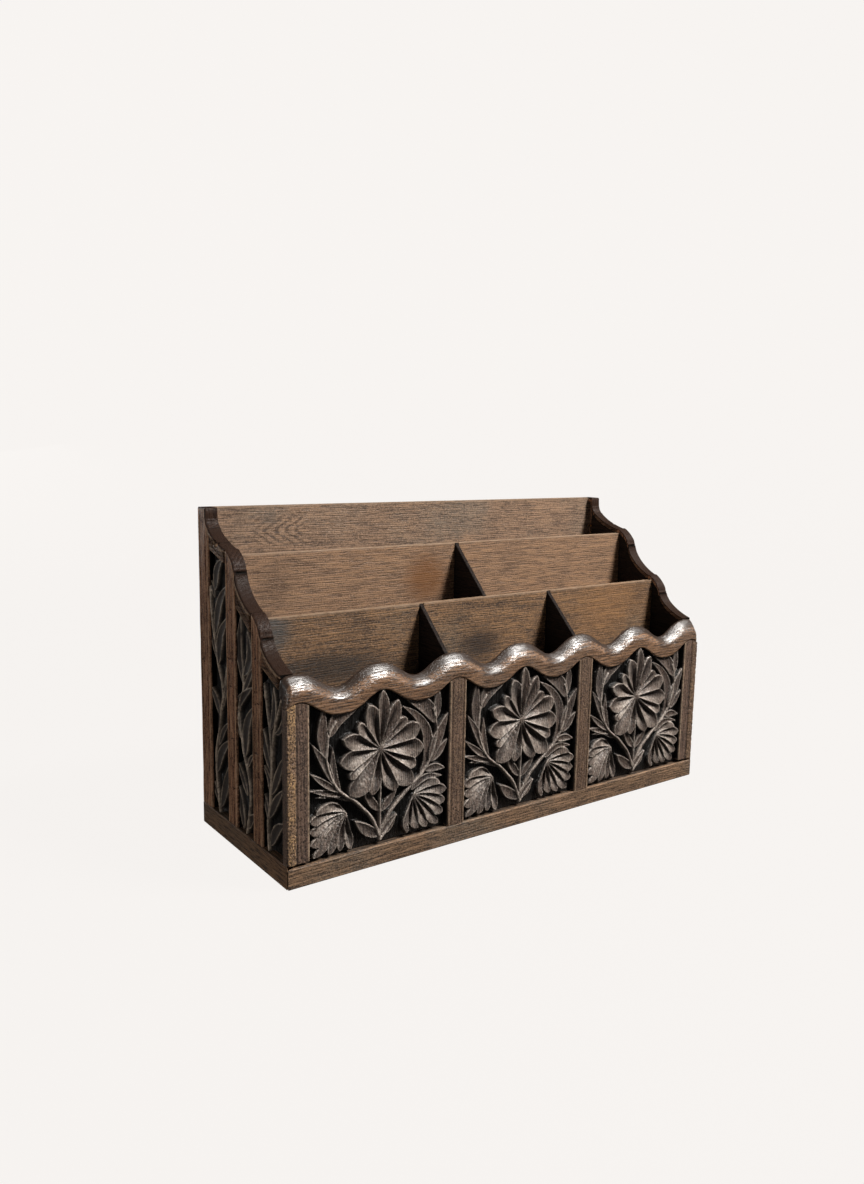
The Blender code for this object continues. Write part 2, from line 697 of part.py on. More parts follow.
def make_pins(base, back, dividers, walls):
    pin_x = INNER_X + BACK_LAP / 2
    backwards = Matrix.Rotation(math.radians(-90), 4, "X")
    downwards = Matrix.Rotation(math.radians(180), 4, "X")
    places = [(side * pin_x, HALF_D - PIN_SUNK, z) for side in (-1, 1) for z in BACK_PIN_HEIGHTS]
    pins("back_board_pin", places, backwards, BACK_PIN_L, [back] + [wall["stile"] for wall in walls])
    places = [(side * BASE_PIN_X, y, PIN_SUNK) for y in (REAR_DIVIDER_Y, FRONT_DIVIDER_Y) for side in (-1, 1)]
    pins("base_board_pin", places, downwards, BASE_PIN_L, [base] + dividers)


front_wall = make_front_wall()
side_walls = [make_side_wall(-1, "left_", front_wall), make_side_wall(1, "right_", front_wall)]
base_board, back_board, long_dividers = make_boards(front_wall, side_walls)
make_pins(base_board, back_board, long_dividers, side_walls)
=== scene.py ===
"""The look of a stepped letter rack in carved walnut.

Carved faces are height fields: every leaf, vine and petal lowers or raises a fine grid over its
bay, and their colour holds painted highlight on faces turned to the light and painted shade in
hollows and on the black ground. Framing pieces are closed blocks with rounded edges, made paler
for wear and painted highlight. Boards keep the joinery of the CAD pieces and get softened edges.
Lengths of motifs are in millimetres, everything else in metres.
"""
import math

import bmesh
import bpy
import numpy as np
from mathutils import Matrix, Vector


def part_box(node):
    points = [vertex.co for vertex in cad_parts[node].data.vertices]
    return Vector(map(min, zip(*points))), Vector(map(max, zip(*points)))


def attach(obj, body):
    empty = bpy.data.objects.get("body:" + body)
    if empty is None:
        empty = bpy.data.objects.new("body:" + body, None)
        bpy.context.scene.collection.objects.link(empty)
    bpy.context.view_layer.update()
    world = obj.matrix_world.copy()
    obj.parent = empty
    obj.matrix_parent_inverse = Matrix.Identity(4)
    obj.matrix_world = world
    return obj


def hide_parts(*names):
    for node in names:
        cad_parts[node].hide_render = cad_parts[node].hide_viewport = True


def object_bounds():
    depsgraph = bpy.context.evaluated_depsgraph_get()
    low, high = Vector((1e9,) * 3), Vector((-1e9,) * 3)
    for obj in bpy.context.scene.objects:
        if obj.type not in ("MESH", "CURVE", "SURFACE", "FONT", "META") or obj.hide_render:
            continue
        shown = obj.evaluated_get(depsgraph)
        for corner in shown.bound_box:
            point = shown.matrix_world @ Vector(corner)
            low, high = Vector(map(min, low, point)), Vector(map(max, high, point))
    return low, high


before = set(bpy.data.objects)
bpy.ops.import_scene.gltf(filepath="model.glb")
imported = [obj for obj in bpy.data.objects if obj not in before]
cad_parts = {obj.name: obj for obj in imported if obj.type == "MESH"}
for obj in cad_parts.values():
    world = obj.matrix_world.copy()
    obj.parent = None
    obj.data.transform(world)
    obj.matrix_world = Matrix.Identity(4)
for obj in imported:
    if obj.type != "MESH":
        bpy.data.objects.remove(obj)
CAD_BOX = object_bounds()
LOW, HIGH = CAD_BOX

MM = 0.001
HALF_W = HIGH[0]
FRONT = LOW[1]
BACK = HIGH[1]
DEPTH = BACK - FRONT
HEIGHT = HIGH[2]
BODY = "root"
GAP = 0.3 * MM


def grid_step(fine):
    return (fine) * MM


# ---------------------------------------------------------------- numbers taken from the frame

def corner(node, which, axis):
    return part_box(node)[which]["xyz".index(axis)]


FRAME_T = corner("front_left_post", 1, "y") - FRONT
WALL_T = HALF_W + corner("left_liner", 1, "x")
LINER_TOP = corner("front_liner", 1, "z")
FRONT_RAIL_H = corner("front_bottom_rail", 1, "z")
SIDE_RAIL_H = corner("left_bottom_rail", 1, "z")
BAY_W = corner("front_right_mullion", 0, "x") - corner("front_left_mullion", 1, "x")
BAY_PITCH = corner("front_right_mullion", 1, "x") - corner("front_left_mullion", 1, "x")
WAVE_PERIOD = BAY_PITCH / 2
WAVE_SWING = 4.5 * MM
WAVE_ROUNDING = 0.6 * MM
WAVE_TOP = corner("front_wave_rail", 1, "z") - WAVE_SWING
WAVE_BOTTOM = corner("front_wave_rail", 0, "z") + WAVE_SWING


# ---------------------------------------------------------------- noise and small maths

def smooth(value):
    value = np.clip(value, 0.0, 1.0)
    return value * value * (3 - 2 * value)


def noise(a, b, size, seed):
    """Smooth random values from -1 to 1 whose blotches are about size across."""
    table = np.random.default_rng(seed).random((61, 61)) * 2 - 1
    a = np.asarray(a) / size
    b = np.asarray(b) / size
    ia = np.floor(a).astype(int)
    ib = np.floor(b).astype(int)
    fa = smooth(a - ia)
    fb = smooth(b - ib)
    near = table[ia % 61, ib % 61] * (1 - fa) + table[(ia + 1) % 61, ib % 61] * fa
    far = table[ia % 61, (ib + 1) % 61] * (1 - fa) + table[(ia + 1) % 61, (ib + 1) % 61] * fa
    return near * (1 - fb) + far * fb


def smooth_line(points, count=26):
    """Points along a Catmull-Rom curve through a few given ones."""
    points = np.array(points, float)
    ends = np.vstack([2 * points[0] - points[1], points, 2 * points[-1] - points[-2]])
    spans = len(points) - 1
    out = []
    for place in np.linspace(0, spans, count):
        index = min(int(place), spans - 1)
        t = place - index
        p0, p1, p2, p3 = ends[index:index + 4]
        out.append(0.5 * (2 * p1 + (p2 - p0) * t + (2 * p0 - 5 * p1 + 4 * p2 - p3) * t * t
                          + (3 * p1 - p0 - 3 * p2 + p3) * t ** 3))
    return np.array(out)


def distance_to(line, across, up):
    """Distances from points to a polyline, and the share of the way along it."""
    best = np.full(across.shape, 1e9)
    share = np.zeros(across.shape)
    lengths = np.linalg.norm(np.diff(line, axis=0), axis=1)
    total = lengths.sum()
    before = 0.0
    for start, end, length in zip(line, line[1:], lengths):
        ex, ey = (end - start) / length
        px = across - start[0]
        py = up - start[1]
        t = np.clip(px * ex + py * ey, 0, length)
        gap = np.hypot(px - t * ex, py - t * ey)
        nearer = gap < best
        best = np.where(nearer, gap, best)
        share = np.where(nearer, (before + t) / total, share)
        before += length
    return best, share


def bowed(start, end, bulge, count=9):
    """Points of a curve from start to end that bows out to its left, without its last point."""
    start = np.array(start, float)
    end = np.array(end, float)
    run = end - start
    control = (start + end) / 2 + bulge * np.array([-run[1], run[0]])
    shares = np.linspace(0, 1, count)[:-1]
    return [(1 - t) ** 2 * start + 2 * t * (1 - t) * control + t * t * end for t in shares]


def inside_outline(outline, x, y):
    """Distance in from a closed outline: positive inside, negative outside."""
    following = np.roll(outline, -1, axis=0)
    within = np.zeros(x.shape, bool)
    gap = np.full(x.shape, 1e9)
    for (ax, ay), (bx, by) in zip(outline, following):
        crosses = (ay > y) != (by > y)
        if abs(by - ay) > 1e-9:
            within ^= crosses & (x < (bx - ax) * (y - ay) / (by - ay) + ax)
        length = max(math.hypot(bx - ax, by - ay), 1e-9)
        ex, ey = (bx - ax) / length, (by - ay) / length
        t = np.clip((x - ax) * ex + (y - ay) * ey, 0, length)
        gap = np.minimum(gap, np.hypot(x - ax - t * ex, y - ay - t * ey))
    return np.where(within, gap, -gap)


def unwound(turn):
    """The same angle between half a turn back and half a turn on."""
    return (turn + math.pi) % (2 * math.pi) - math.pi


def heading(centre, point, curl):
    """Angle and distance of a point seen from the centre, with the angle unbent."""
    size = math.hypot(point[0] - centre[0], point[1] - centre[1])
    return math.atan2(point[1] - centre[1], point[0] - centre[0]) + curl * size, size


# ---------------------------------------------------------------- outlines of the walls

def wave(x, middle, rounding=WAVE_ROUNDING):
    """Height of a wavy edge: a positive rounding broadens its troughs, a negative one its crests."""
    turn = 2 * math.pi * np.asarray(x) / WAVE_PERIOD
    return middle + WAVE_SWING * np.cos(turn) + rounding * (np.cos(2 * turn) - 1)


def between(start, end, across, down):
    """Points from start to end at given shares of the way across and down."""
    return [(start[0] + (end[0] - start[0]) * a, start[1] + (end[1] - start[1]) * d)
            for a, d in zip(across, down)]


def cavetto(start, end):
    turn = np.linspace(0, math.pi / 2, 14)
    across = 1 - np.cos(turn)
    return between(start, end, across, 0.4 * across + 0.6 * np.sin(turn))


def ovolo(start, end):
    turn = np.linspace(0, math.pi / 2, 10)
    across = np.sin(turn)
    return between(start, end, across, 0.5 * across + 0.5 * (1 - np.cos(turn)))


# The side wall's top edge in millimetres: distance forwards from the back, and height
PROFILE = [(0.0, 180.0), (9.4, 180.0), (9.9, 179.5), (10.1, 174.2)]
PROFILE += cavetto((10.4, 174.0), (34.0, 160.0))
PROFILE += ovolo((36.5, 160.0), (45.4, 150.8))
PROFILE += cavetto((46.4, 150.0), (65.0, 131.2))
PROFILE += ovolo((67.0, 131.0), (75.2, 121.2))
PROFILE += cavetto((76.2, 120.4), (96.2, 106.0))
PROFILE = np.array(PROFILE) * MM
TOP_STEP = 9.7 * MM  # where the flat at the back of the profile drops


def profile_height(distance):
    return np.interp(distance, PROFILE[:, 0], PROFILE[:, 1])


# ---------------------------------------------------------------- closed blocks from grids

def on_front(across, up, deep):
    return np.stack([across, FRONT + deep, up], axis=-1)


def on_left(across, up, deep):
    return np.stack([-HALF_W + deep, BACK - across, up], axis=-1)


def on_right(across, up, deep):
    return np.stack([HALF_W - deep, BACK - across, up], axis=-1)


def grid(across, bottom, top, step):
    """A grid between a bottom and a top edge over across, its rows about step apart."""
    bottom = np.broadcast_to(bottom, across.shape)
    rows = max(3, int(np.ceil(np.max(top - bottom) / step)) + 1)
    share = np.linspace(0, 1, rows)[:, None]
    up = bottom[None, :] + (top - bottom)[None, :] * share
    return np.broadcast_to(across[None, :], up.shape).copy(), up


def border(rows, columns):
    """Grid indices round the edge of a grid, in order."""
    index = np.arange(rows * columns).reshape(rows, columns)
    return np.concatenate([index[0, :-1], index[:-1, -1], index[-1, :0:-1], index[:0:-1, 0]])


def quads_of(index, flipped=False):
    """The four corners of each cell in a grid of point numbers."""
    turns = (index[:-1, :-1], index[1:, :-1], index[1:, 1:], index[:-1, 1:])
    if flipped:
        turns = turns[:1] + turns[:0:-1]
    return np.stack(turns, axis=-1).reshape(-1, 4)


SHOULDER = 0.7 * MM  # how far behind the face the dirt on a wall starts


def border_flags(rows, columns, sides):
    """1 for each border point that lies on one of the named sides, in border's order."""
    runs = (("bottom", columns - 1), ("right", rows - 1), ("top", columns - 1), ("left", rows - 1))
    return np.concatenate([np.full(count, float(side in sides)) for side, count in runs])


def block(name, place, front, back, marks, node, material, sharp=38, dirty=()):
    """A closed piece between a front grid and a back one.

    front and back are (across, up, deep) arrays; a back of one number is a flat cap at that depth.
    marks holds per-point amounts for the material: wear_and_highlight (pale wear with painted
    highlight), deep (near black: dark cracks and joints, and painted shade in the carved ground, slots
    and holes), shade (painted shade) and gilt. The walls on the dirty sides are black with old wax
    just behind the face.
    """
    across, up, deep = front
    deep = np.maximum(deep, 0)
    rows, columns = across.shape
    points = [place(across, up, deep).reshape(-1, 3)]
    index = np.arange(rows * columns).reshape(rows, columns)
    quads = [quads_of(index)]
    edge = border(rows, columns)
    count = rows * columns
    edge_across, edge_up, edge_deep = (values.reshape(-1)[edge] for values in (across, up, deep))
    points.append(place(edge_across, edge_up, edge_deep + SHOULDER))
    shoulder = count + np.arange(len(edge))
    behind = count + len(edge)
    cap = None
    if np.isscalar(back):
        points.append(place(edge_across, edge_up, np.full(len(edge), back)))
        ring = behind + np.arange(len(edge))
        cap = ring.tolist()
    else:
        points.append(place(*back).reshape(-1, 3))
        quads.append(quads_of(index + behind, flipped=True))
        ring = edge + behind
    for near, far in ((edge, shoulder), (shoulder, ring)):
        quads.append(np.stack([near, np.roll(near, -1), np.roll(far, -1), far], axis=-1))
    points = np.concatenate(points)
    faces = np.concatenate(quads).tolist()
    if cap:
        faces.append(cap)
    mesh = bpy.data.meshes.new(name)
    mesh.from_pydata(points.tolist(), [], faces)
    for mark, values in marks.items():
        layer = mesh.attributes.new(mark, "FLOAT", "POINT")
        full = np.zeros(len(points), np.float32)
        full[:count] = np.asarray(values, np.float32).reshape(-1)
        full[ring] = full[shoulder] = full[edge]
        if mark == "deep":
            full[shoulder] = np.maximum(full[shoulder], border_flags(rows, columns, dirty))
            full[ring] = full[shoulder]
        layer.data.foreach_set("value", full)
    outward(mesh)
    mesh.shade_smooth()
    mesh.set_sharp_from_angle(angle=math.radians(sharp))
    return add_piece(name, mesh, node, material)


def outward(mesh):
    """Turns all faces of a closed mesh outwards."""
    shape = bmesh.new()
    shape.from_mesh(mesh)
    bmesh.ops.recalc_face_normals(shape, faces=shape.faces)
    if shape.calc_volume(signed=True) < 0:
        bmesh.ops.reverse_faces(shape, faces=shape.faces)
    shape.to_mesh(mesh)
    shape.free()


def add_piece(name, mesh, node, material):
    """An object that rides the body and stands for a CAD node."""
    piece = bpy.data.objects.new(name, mesh)
    bpy.context.scene.collection.objects.link(piece)
    mesh.materials.clear()
    mesh.materials.append(material)
    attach(piece, BODY)
    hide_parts(node)
    return piece


# ---------------------------------------------------------------- materials

class Paint:
    """A Principled material and short ways to add nodes to it."""

    def __init__(self, name):
        self.material = bpy.data.materials.new(name)
        self.material.use_nodes = True
        self.tree = self.material.node_tree
        self.shader = self.tree.nodes["Principled BSDF"]
        self.where = self.add("ShaderNodeTexCoord").outputs["Object"]

    def add(self, kind, **settings):
        node = self.tree.nodes.new(kind)
        for key, value in settings.items():
            setattr(node, key, value)
        return node

    def feed(self, socket, value):
        if isinstance(value, bpy.types.NodeSocket):
            self.tree.links.new(value, socket)
        elif value is not None:
            socket.default_value = value

    def fill(self, node, **values):
        """Feeds a node's inputs by name, with _ for a space."""
        for key, value in values.items():
            self.feed(node.inputs[key.replace("_", " ")], value)

    def stretched(self, scale, offset=(0, 0, 0)):
        node = self.add("ShaderNodeMapping")
        self.fill(node, Vector=self.where, Scale=scale, Location=offset)
        return node.outputs["Vector"]

    def grain(self, vector, scale, detail=4.0, roughness=0.55):
        node = self.add("ShaderNodeTexNoise")
        self.fill(node, Vector=vector, Scale=scale, Detail=detail, Roughness=roughness)
        return node.outputs["Fac"]

    def length(self, vector):
        node = self.add("ShaderNodeVectorMath", operation="LENGTH")
        self.feed(node.inputs[0], vector)
        return node.outputs["Value"]

    def maths(self, operation, first, second=None):
        node = self.add("ShaderNodeMath", operation=operation)
        self.feed(node.inputs[0], first)
        self.feed(node.inputs[1], second)
        return node.outputs[0]

    def times(self, first, second):
        return self.maths("MULTIPLY", first, second)

    def plus(self, first, second):
        return self.maths("ADD", first, second)

    def minus(self, first, second):
        return self.maths("SUBTRACT", first, second)

    def ripple(self, turns):
        """The sine of a number of whole turns."""
        return self.maths("SINE", self.times(turns, 2 * math.pi))

    def range(self, value, low, high, out_low=0.0, out_high=1.0):
        node = self.add("ShaderNodeMapRange", interpolation_type="SMOOTHSTEP")
        self.fill(node, Value=value, From_Min=low, From_Max=high, To_Min=out_low, To_Max=out_high)
        return node.outputs[0]

    def mix(self, factor, first, second):
        node = self.add("ShaderNodeMix", data_type="RGBA")
        self.feed(node.inputs["Factor"], factor)
        for label, value in (("A", first), ("B", second)):
            socket = [item for item in node.inputs if item.name == label and item.type == "RGBA"][0]
            self.feed(socket, (*value, 1.0) if isinstance(value, tuple) else value)
        return [item for item in node.outputs if item.type == "RGBA"][0]

    def mark(self, name):
        """A block's per-point amount."""
        return self.add("ShaderNodeAttribute", attribute_name=name).outputs["Fac"]

    def axis(self, letter):
        node = self.add("ShaderNodeSeparateXYZ")
        self.feed(node.inputs[0], self.where)
        return node.outputs[letter]

    def bump(self, height, strength, distance, under=None):
        node = self.add("ShaderNodeBump")
        self.fill(node, Strength=strength, Distance=distance, Height=height, Normal=under)
        return node.outputs["Normal"]

    def set(self, **values):
        self.fill(self.shader, **values)
        return self.material


def srgb(red, green, blue):
    """Linear colour of an 8-bit display colour."""
    shares = [value / 255 for value in (red, green, blue)]
    return tuple(c / 12.92 if c <= 0.04 else ((c + 0.055) / 1.055) ** 2.4 for c in shares)


def squeezed(along, share):
    """Scales that draw a pattern out along an axis."""
    return tuple(share if letter == along else 1.0 for letter in "XYZ")


def figured(paint, colour, figure, noises, pale, dark):
    """Nested pointed growth lines round a place on a board that lies along X."""
    middle, reach, rings = figure
    wander, streak, mottle = noises
    along_x = paint.times(paint.minus(paint.axis("X"), middle[0]), 1 / reach[0])
    along_z = paint.times(paint.minus(paint.axis("Z"), middle[1]), 1 / reach[1])
    side = paint.maths("ABSOLUTE", paint.plus(along_z, paint.times(wander, 0.8)))
    nested = paint.minus(along_x, paint.times(side, 0.8))
    nested = paint.plus(paint.times(nested, rings), paint.times(streak, 1.4))
    nested = paint.range(paint.ripple(nested), 0.0, 0.6)
    near = paint.times(paint.range(side, 1.0, 0.7), paint.range(paint.maths("ABSOLUTE", along_x), 1.0, 0.7))
    near = paint.times(near, paint.range(mottle, 0.38, 0.52, 0.55, 1.0))
    colour = paint.mix(paint.times(near, 0.5), colour, pale)
    return paint.mix(paint.times(paint.times(near, nested), 0.95), colour, dark)


def patched(paint, colour, tinted_patch, blotch, streak):
    """A patch with a ragged edge that tints the wood."""
    point, reach, tint, strength = tinted_patch
    offset = tuple(-p / r for p, r in zip(point, reach))
    away = paint.length(paint.stretched(tuple(1 / r for r in reach), offset))
    ragged = paint.plus(paint.plus(away, paint.times(blotch, 0.6)), paint.times(streak, 0.6))
    return paint.mix(paint.range(ragged, 1.65, 0.85, 0.0, strength), colour, paint.mix(0.75, colour, tint))


def wood(name, along, pale, mid, dark, seed=0, lines=900.0, line_share=0.6, fleck=0.35, rough=(0.34, 0.60),
         figure=None, stains_and_shade=(), wear_and_highlight=None, worn_from=None, bump=0.5, deep=None, gilt=None, grey=None,
         shade=0.0, stroke=0.85, specular=0.5, matt=0.7):
    """Old waxed walnut: growth lines, broken dark pores, blotches, pale wear with painted highlight,
    tinted patches, and painted shade that darkens and dulls.

    along is the letter of the axis that the grain follows, and lines the growth lines in a metre.
    figure is ((x, z), (reach along X and Z), rings). Each entry of stains_and_shade is (point, (reach
    along X, Y, Z), colour, strength): a tinted patch; most are marks on the wood, and the black line
    along the front bottom rail is painted shade. worn_from is (axis, start, end), for a piece that
    has no wear_and_highlight mark.
    """
    paint = Paint(name)
    shift = (seed * 0.37, seed * 0.23, seed * 0.11)
    even = paint.stretched((1, 1, 1), shift)
    drawn = paint.stretched(squeezed(along, 0.045), shift)
    wander = paint.grain(paint.stretched(squeezed(along, 0.12), shift), 48.0, 2.0, 0.5)
    pith = tuple(0.0 if letter == along else 0.05 + 0.004 * seed for letter in "XYZ")
    radius = paint.length(paint.stretched(squeezed(along, 0.02), pith))
    ring = paint.plus(paint.times(radius, lines), paint.times(wander, 5.0))
    slow = paint.range(paint.maths("SINE", paint.times(ring, 0.9)), -1.0, 1.0)
    gaps = paint.range(paint.grain(drawn, 900.0, 3.0, 0.6), 0.36, 0.60, 0.35, 1.0)
    broken = paint.times(paint.range(paint.ripple(ring), -0.2, 1.0), gaps)
    fibre = paint.grain(paint.stretched(squeezed(along, 0.02), shift), 1500.0, 3.0, 0.6)
    streak = paint.grain(drawn, 820.0, 4.0, 0.6)
    strokes = paint.grain(paint.stretched(squeezed(along, 0.06), shift), 2100.0, 1.0, 0.6)
    pores = paint.range(strokes, 0.52, 0.62)
    blotch = paint.grain(even, 26.0, 5.0, 0.62)
    mottle = paint.grain(even, 1100.0, 3.0, 0.7)
    colour = paint.mix(paint.range(streak, 0.38, 0.64), pale, mid)
    colour = paint.mix(paint.times(slow, 0.35), colour, mid)
    if grey:
        faded = paint.range(paint.grain(even, 17.0, 4.0, 0.6), 0.46, 0.66, 0.0, 0.75)
        colour = paint.mix(faded, colour, grey)
    colour = paint.mix(paint.times(broken, line_share), colour, dark)
    if figure:
        colour = figured(paint, colour, figure, (wander, streak, mottle), pale, dark)
    layers = (
        (paint.times(paint.range(fibre, 0.50, 0.70), 0.7), dark),
        (paint.times(pores, stroke), dark),
        (paint.range(strokes, 0.47, 0.36, 0.0, 0.5 * stroke), pale),
        (paint.range(blotch, 0.47, 0.74, 0.0, 0.55), dark),
        (paint.range(mottle, 0.52, 0.64, 0.0, fleck), pale),
        (paint.range(mottle, 0.47, 0.36, 0.0, fleck), dark),
    )
    for amount, tint in layers:
        colour = paint.mix(amount, colour, tint)
    for tinted_patch in stains_and_shade:
        colour = patched(paint, colour, tinted_patch, blotch, streak)
    roughness = paint.range(paint.plus(streak, paint.times(blotch, 0.7)), 0.60, 1.05, *rough)
    roughness = paint.plus(roughness, paint.times(pores, 0.18))
    # Pale wear on edges and high places; in the carving it also holds painted highlight.
    if wear_and_highlight:
        amount = paint.range(paint.axis(worn_from[0]), *worn_from[1:]) if worn_from else paint.mark("wear_and_highlight")
        pale_patches = paint.range(paint.grain(even, 380.0, 4.0, 0.7), 0.34, 0.60, 0.2, 1.0)
        colour = paint.mix(paint.times(amount, pale_patches), colour, wear_and_highlight)
    if gilt:
        specks = paint.range(mottle, 0.42, 0.60, 0.05, 1.0)
        colour = paint.mix(paint.times(paint.mark("gilt"), specks), colour, gilt)
    # Painted shade: the shade mark darkens the colour and dulls the gloss.
    if shade:
        amount = paint.mark("shade")
        colour = paint.mix(paint.times(amount, shade), colour, dark)
        roughness = paint.maths("MAXIMUM", roughness, paint.times(amount, matt))
    # Near black from the deep mark: dark cracks, dents, grooves and joints, and painted shade in the carved
    # ground, slots and holes.
    if deep:
        colour = paint.mix(paint.mark("deep"), colour, deep)
    relief = paint.minus(paint.times(fibre, 0.7), paint.times(broken, 0.5))
    relief = paint.minus(relief, paint.times(pores, 0.8))
    grit = paint.plus(mottle, paint.times(streak, 0.8))
    normal = paint.bump(grit, bump * 0.8, 0.22 * MM, paint.bump(relief, bump, 0.16 * MM))
    return paint.set(Base_Color=colour, Roughness=roughness, Normal=normal, Specular_IOR_Level=specular)


# Near black for dark cracks and joints, and for painted shade in the carved ground, slots and holes.
BLACK = srgb(6, 5, 4)


def make_carving_looks(looks):
    looks["carving"] = wood(
        "carved_walnut", "Z", srgb(122, 105, 95), srgb(78, 67, 61), srgb(34, 29, 27), seed=1, lines=700,
        line_share=0.2, fleck=0.9, rough=(0.24, 0.42), wear_and_highlight=srgb(200, 187, 175), grey=srgb(96, 94, 93),
        deep=BLACK, bump=1.7, specular=0.6, shade=0.74, stroke=0.3, matt=0.4)
    looks["side_carving"] = wood(
        "carved_walnut_side", "Z", srgb(110, 94, 82), srgb(74, 62, 54), srgb(34, 28, 25), seed=2, lines=700,
        line_share=0.2, fleck=0.6, rough=(0.32, 0.5), wear_and_highlight=srgb(216, 194, 172), grey=srgb(92, 88, 84),
        deep=BLACK, bump=0.9, shade=0.85, stroke=0.4)


def make_framing_looks(looks):
    looks["wave"] = wood(
        "wave_rail_walnut", "X", srgb(158, 124, 98), srgb(112, 86, 67), srgb(44, 33, 27), seed=3, lines=560,
        line_share=0.85, fleck=0.5, rough=(0.18, 0.28), wear_and_highlight=srgb(160, 130, 104), grey=srgb(104, 97, 91),
        deep=BLACK, bump=0.5, specular=0.6, shade=0.95, matt=0.36)
    # Painted shade: a black line along the top of the front bottom rail, just behind its front edge.
    shade_along_rail_top = ((0.0, FRONT + 3.2 * MM, FRONT_RAIL_H), (9.0, 1.9 * MM, 1.1 * MM), BLACK, 0.95)
    looks["frame_x"] = wood(
        "rail_walnut", "X", srgb(158, 127, 100), srgb(112, 88, 67), srgb(44, 34, 28), seed=4, lines=600,
        line_share=0.9, fleck=0.6, rough=(0.40, 0.58), grey=srgb(118, 108, 96), stains_and_shade=[shade_along_rail_top])
    looks["frame_y"] = wood(
        "side_rail_walnut", "Y", srgb(150, 116, 88), srgb(110, 82, 60), srgb(54, 40, 30), seed=5, lines=600,
        rough=(0.42, 0.6), grey=srgb(108, 90, 74))
    looks["post"] = wood(
        "post_walnut", "Z", srgb(124, 101, 87), srgb(84, 68, 59), srgb(34, 27, 24), seed=6, lines=500,
        line_share=0.15, fleck=1.0, stroke=0.35, rough=(0.36, 0.54), wear_and_highlight=srgb(190, 166, 140),
        gilt=srgb(206, 166, 116), deep=BLACK, bump=1.0)
    looks["upright"] = wood(
        "side_upright_walnut", "Z", srgb(196, 148, 118), srgb(142, 102, 79), srgb(36, 25, 21), seed=7,
        lines=520, line_share=0.85, fleck=0.6, rough=(0.34, 0.50), wear_and_highlight=srgb(206, 168, 138), deep=BLACK,
        bump=0.8, shade=0.95, specular=0.08, matt=0.4)
    looks["spandrel"] = wood(
        "spandrel_walnut", "Y", srgb(134, 104, 82), srgb(96, 73, 57), srgb(40, 28, 23), seed=8, lines=520,
        line_share=0.5, fleck=0.5, rough=(0.30, 0.46), wear_and_highlight=srgb(194, 164, 136), deep=BLACK, bump=0.7,
        shade=0.95, specular=0.08, matt=0.4)


def make_board_looks(looks):
    def rubbed_top(node):
        top = corner(node, 1, "z")
        return "Z", top - 1.2 * MM, top - 0.3 * MM

    board = dict(rough=(0.44, 0.66), wear_and_highlight=srgb(138, 114, 92), bump=0.6, stroke=0.7, fleck=0.6)
    looks["back"] = wood(
        "back_board_walnut", "X", srgb(156, 126, 101), srgb(128, 101, 79), srgb(62, 46, 36), seed=10,
        lines=880, line_share=0.7, figure=((-0.104, 0.1695), (0.019, 0.0100), 2.8), grey=srgb(124, 112, 98),
        worn_from=("Z", HEIGHT - 1.3 * MM, HEIGHT - 0.3 * MM),
        stains_and_shade=[((-0.110, 0.046, 0.1725), (0.007, 1.0, 0.0055), srgb(96, 82, 70), 0.7)], **board)
    looks["rear"] = wood(
        "rear_divider_walnut", "X", srgb(160, 126, 97), srgb(132, 102, 77), srgb(70, 51, 38), seed=11,
        lines=900, line_share=0.6, worn_from=rubbed_top("rear_divider"),
        stains_and_shade=[((-0.022, 0.0, 0.136), (0.021, 1.0, 0.020), srgb(104, 62, 18), 1.0)], **board)
    smudges = [((-0.141, -0.02, 0.121), (0.016, 1.0, 0.016), srgb(66, 66, 66), 1.0),
               ((-0.108, -0.02, 0.098), (0.056, 1.0, 0.0125), srgb(22, 20, 20), 1.0),
               ((0.105, -0.02, 0.112), (0.05, 1.0, 0.03), srgb(150, 106, 62), 0.35),
               ((-0.006, -0.02, 0.100), (0.022, 1.0, 0.0125), srgb(26, 20, 19), 1.0)]
    looks["front"] = wood(
        "front_divider_walnut", "X", srgb(152, 117, 84), srgb(114, 85, 60), srgb(48, 35, 26), seed=12,
        lines=800, line_share=0.8, grey=srgb(116, 106, 92), worn_from=rubbed_top("front_divider"),
        stains_and_shade=smudges, **board)
    # The partitions and liners are coloured near black: painted shade for faces that stand in shadow.
    looks["partition"] = wood(
        "partition_painted_shade", "Y", srgb(36, 24, 18), srgb(24, 16, 12), srgb(12, 9, 7), seed=13, lines=520,
        rough=(0.6, 0.8), specular=0.15)
    looks["liner"] = wood(
        "liner_painted_shade", "Y", srgb(42, 29, 22), srgb(28, 19, 14), srgb(16, 11, 8), seed=9, lines=400,
        rough=(0.6, 0.8), specular=0.15)
    looks["base"] = wood(
        "base_board_walnut", "X", srgb(138, 110, 84), srgb(108, 84, 62), srgb(62, 47, 36), seed=14, lines=520,
        rough=(0.55, 0.75))


def dull_brass():
    paint = Paint("dull_brass")
    tarnish = paint.grain(paint.stretched((1, 1, 1)), 700.0)
    colour = paint.mix(paint.range(tarnish, 0.35, 0.7), srgb(186, 150, 84), srgb(96, 74, 42))
    return paint.set(Base_Color=colour, Roughness=paint.range(tarnish, 0.3, 0.8, 0.3, 0.55), Metallic=1.0)


LOOKS = {"brass": dull_brass()}
make_carving_looks(LOOKS)
make_framing_looks(LOOKS)
make_board_looks(LOOKS)


# ---------------------------------------------------------------- carving

CARVING_STEP = grid_step(0.31)


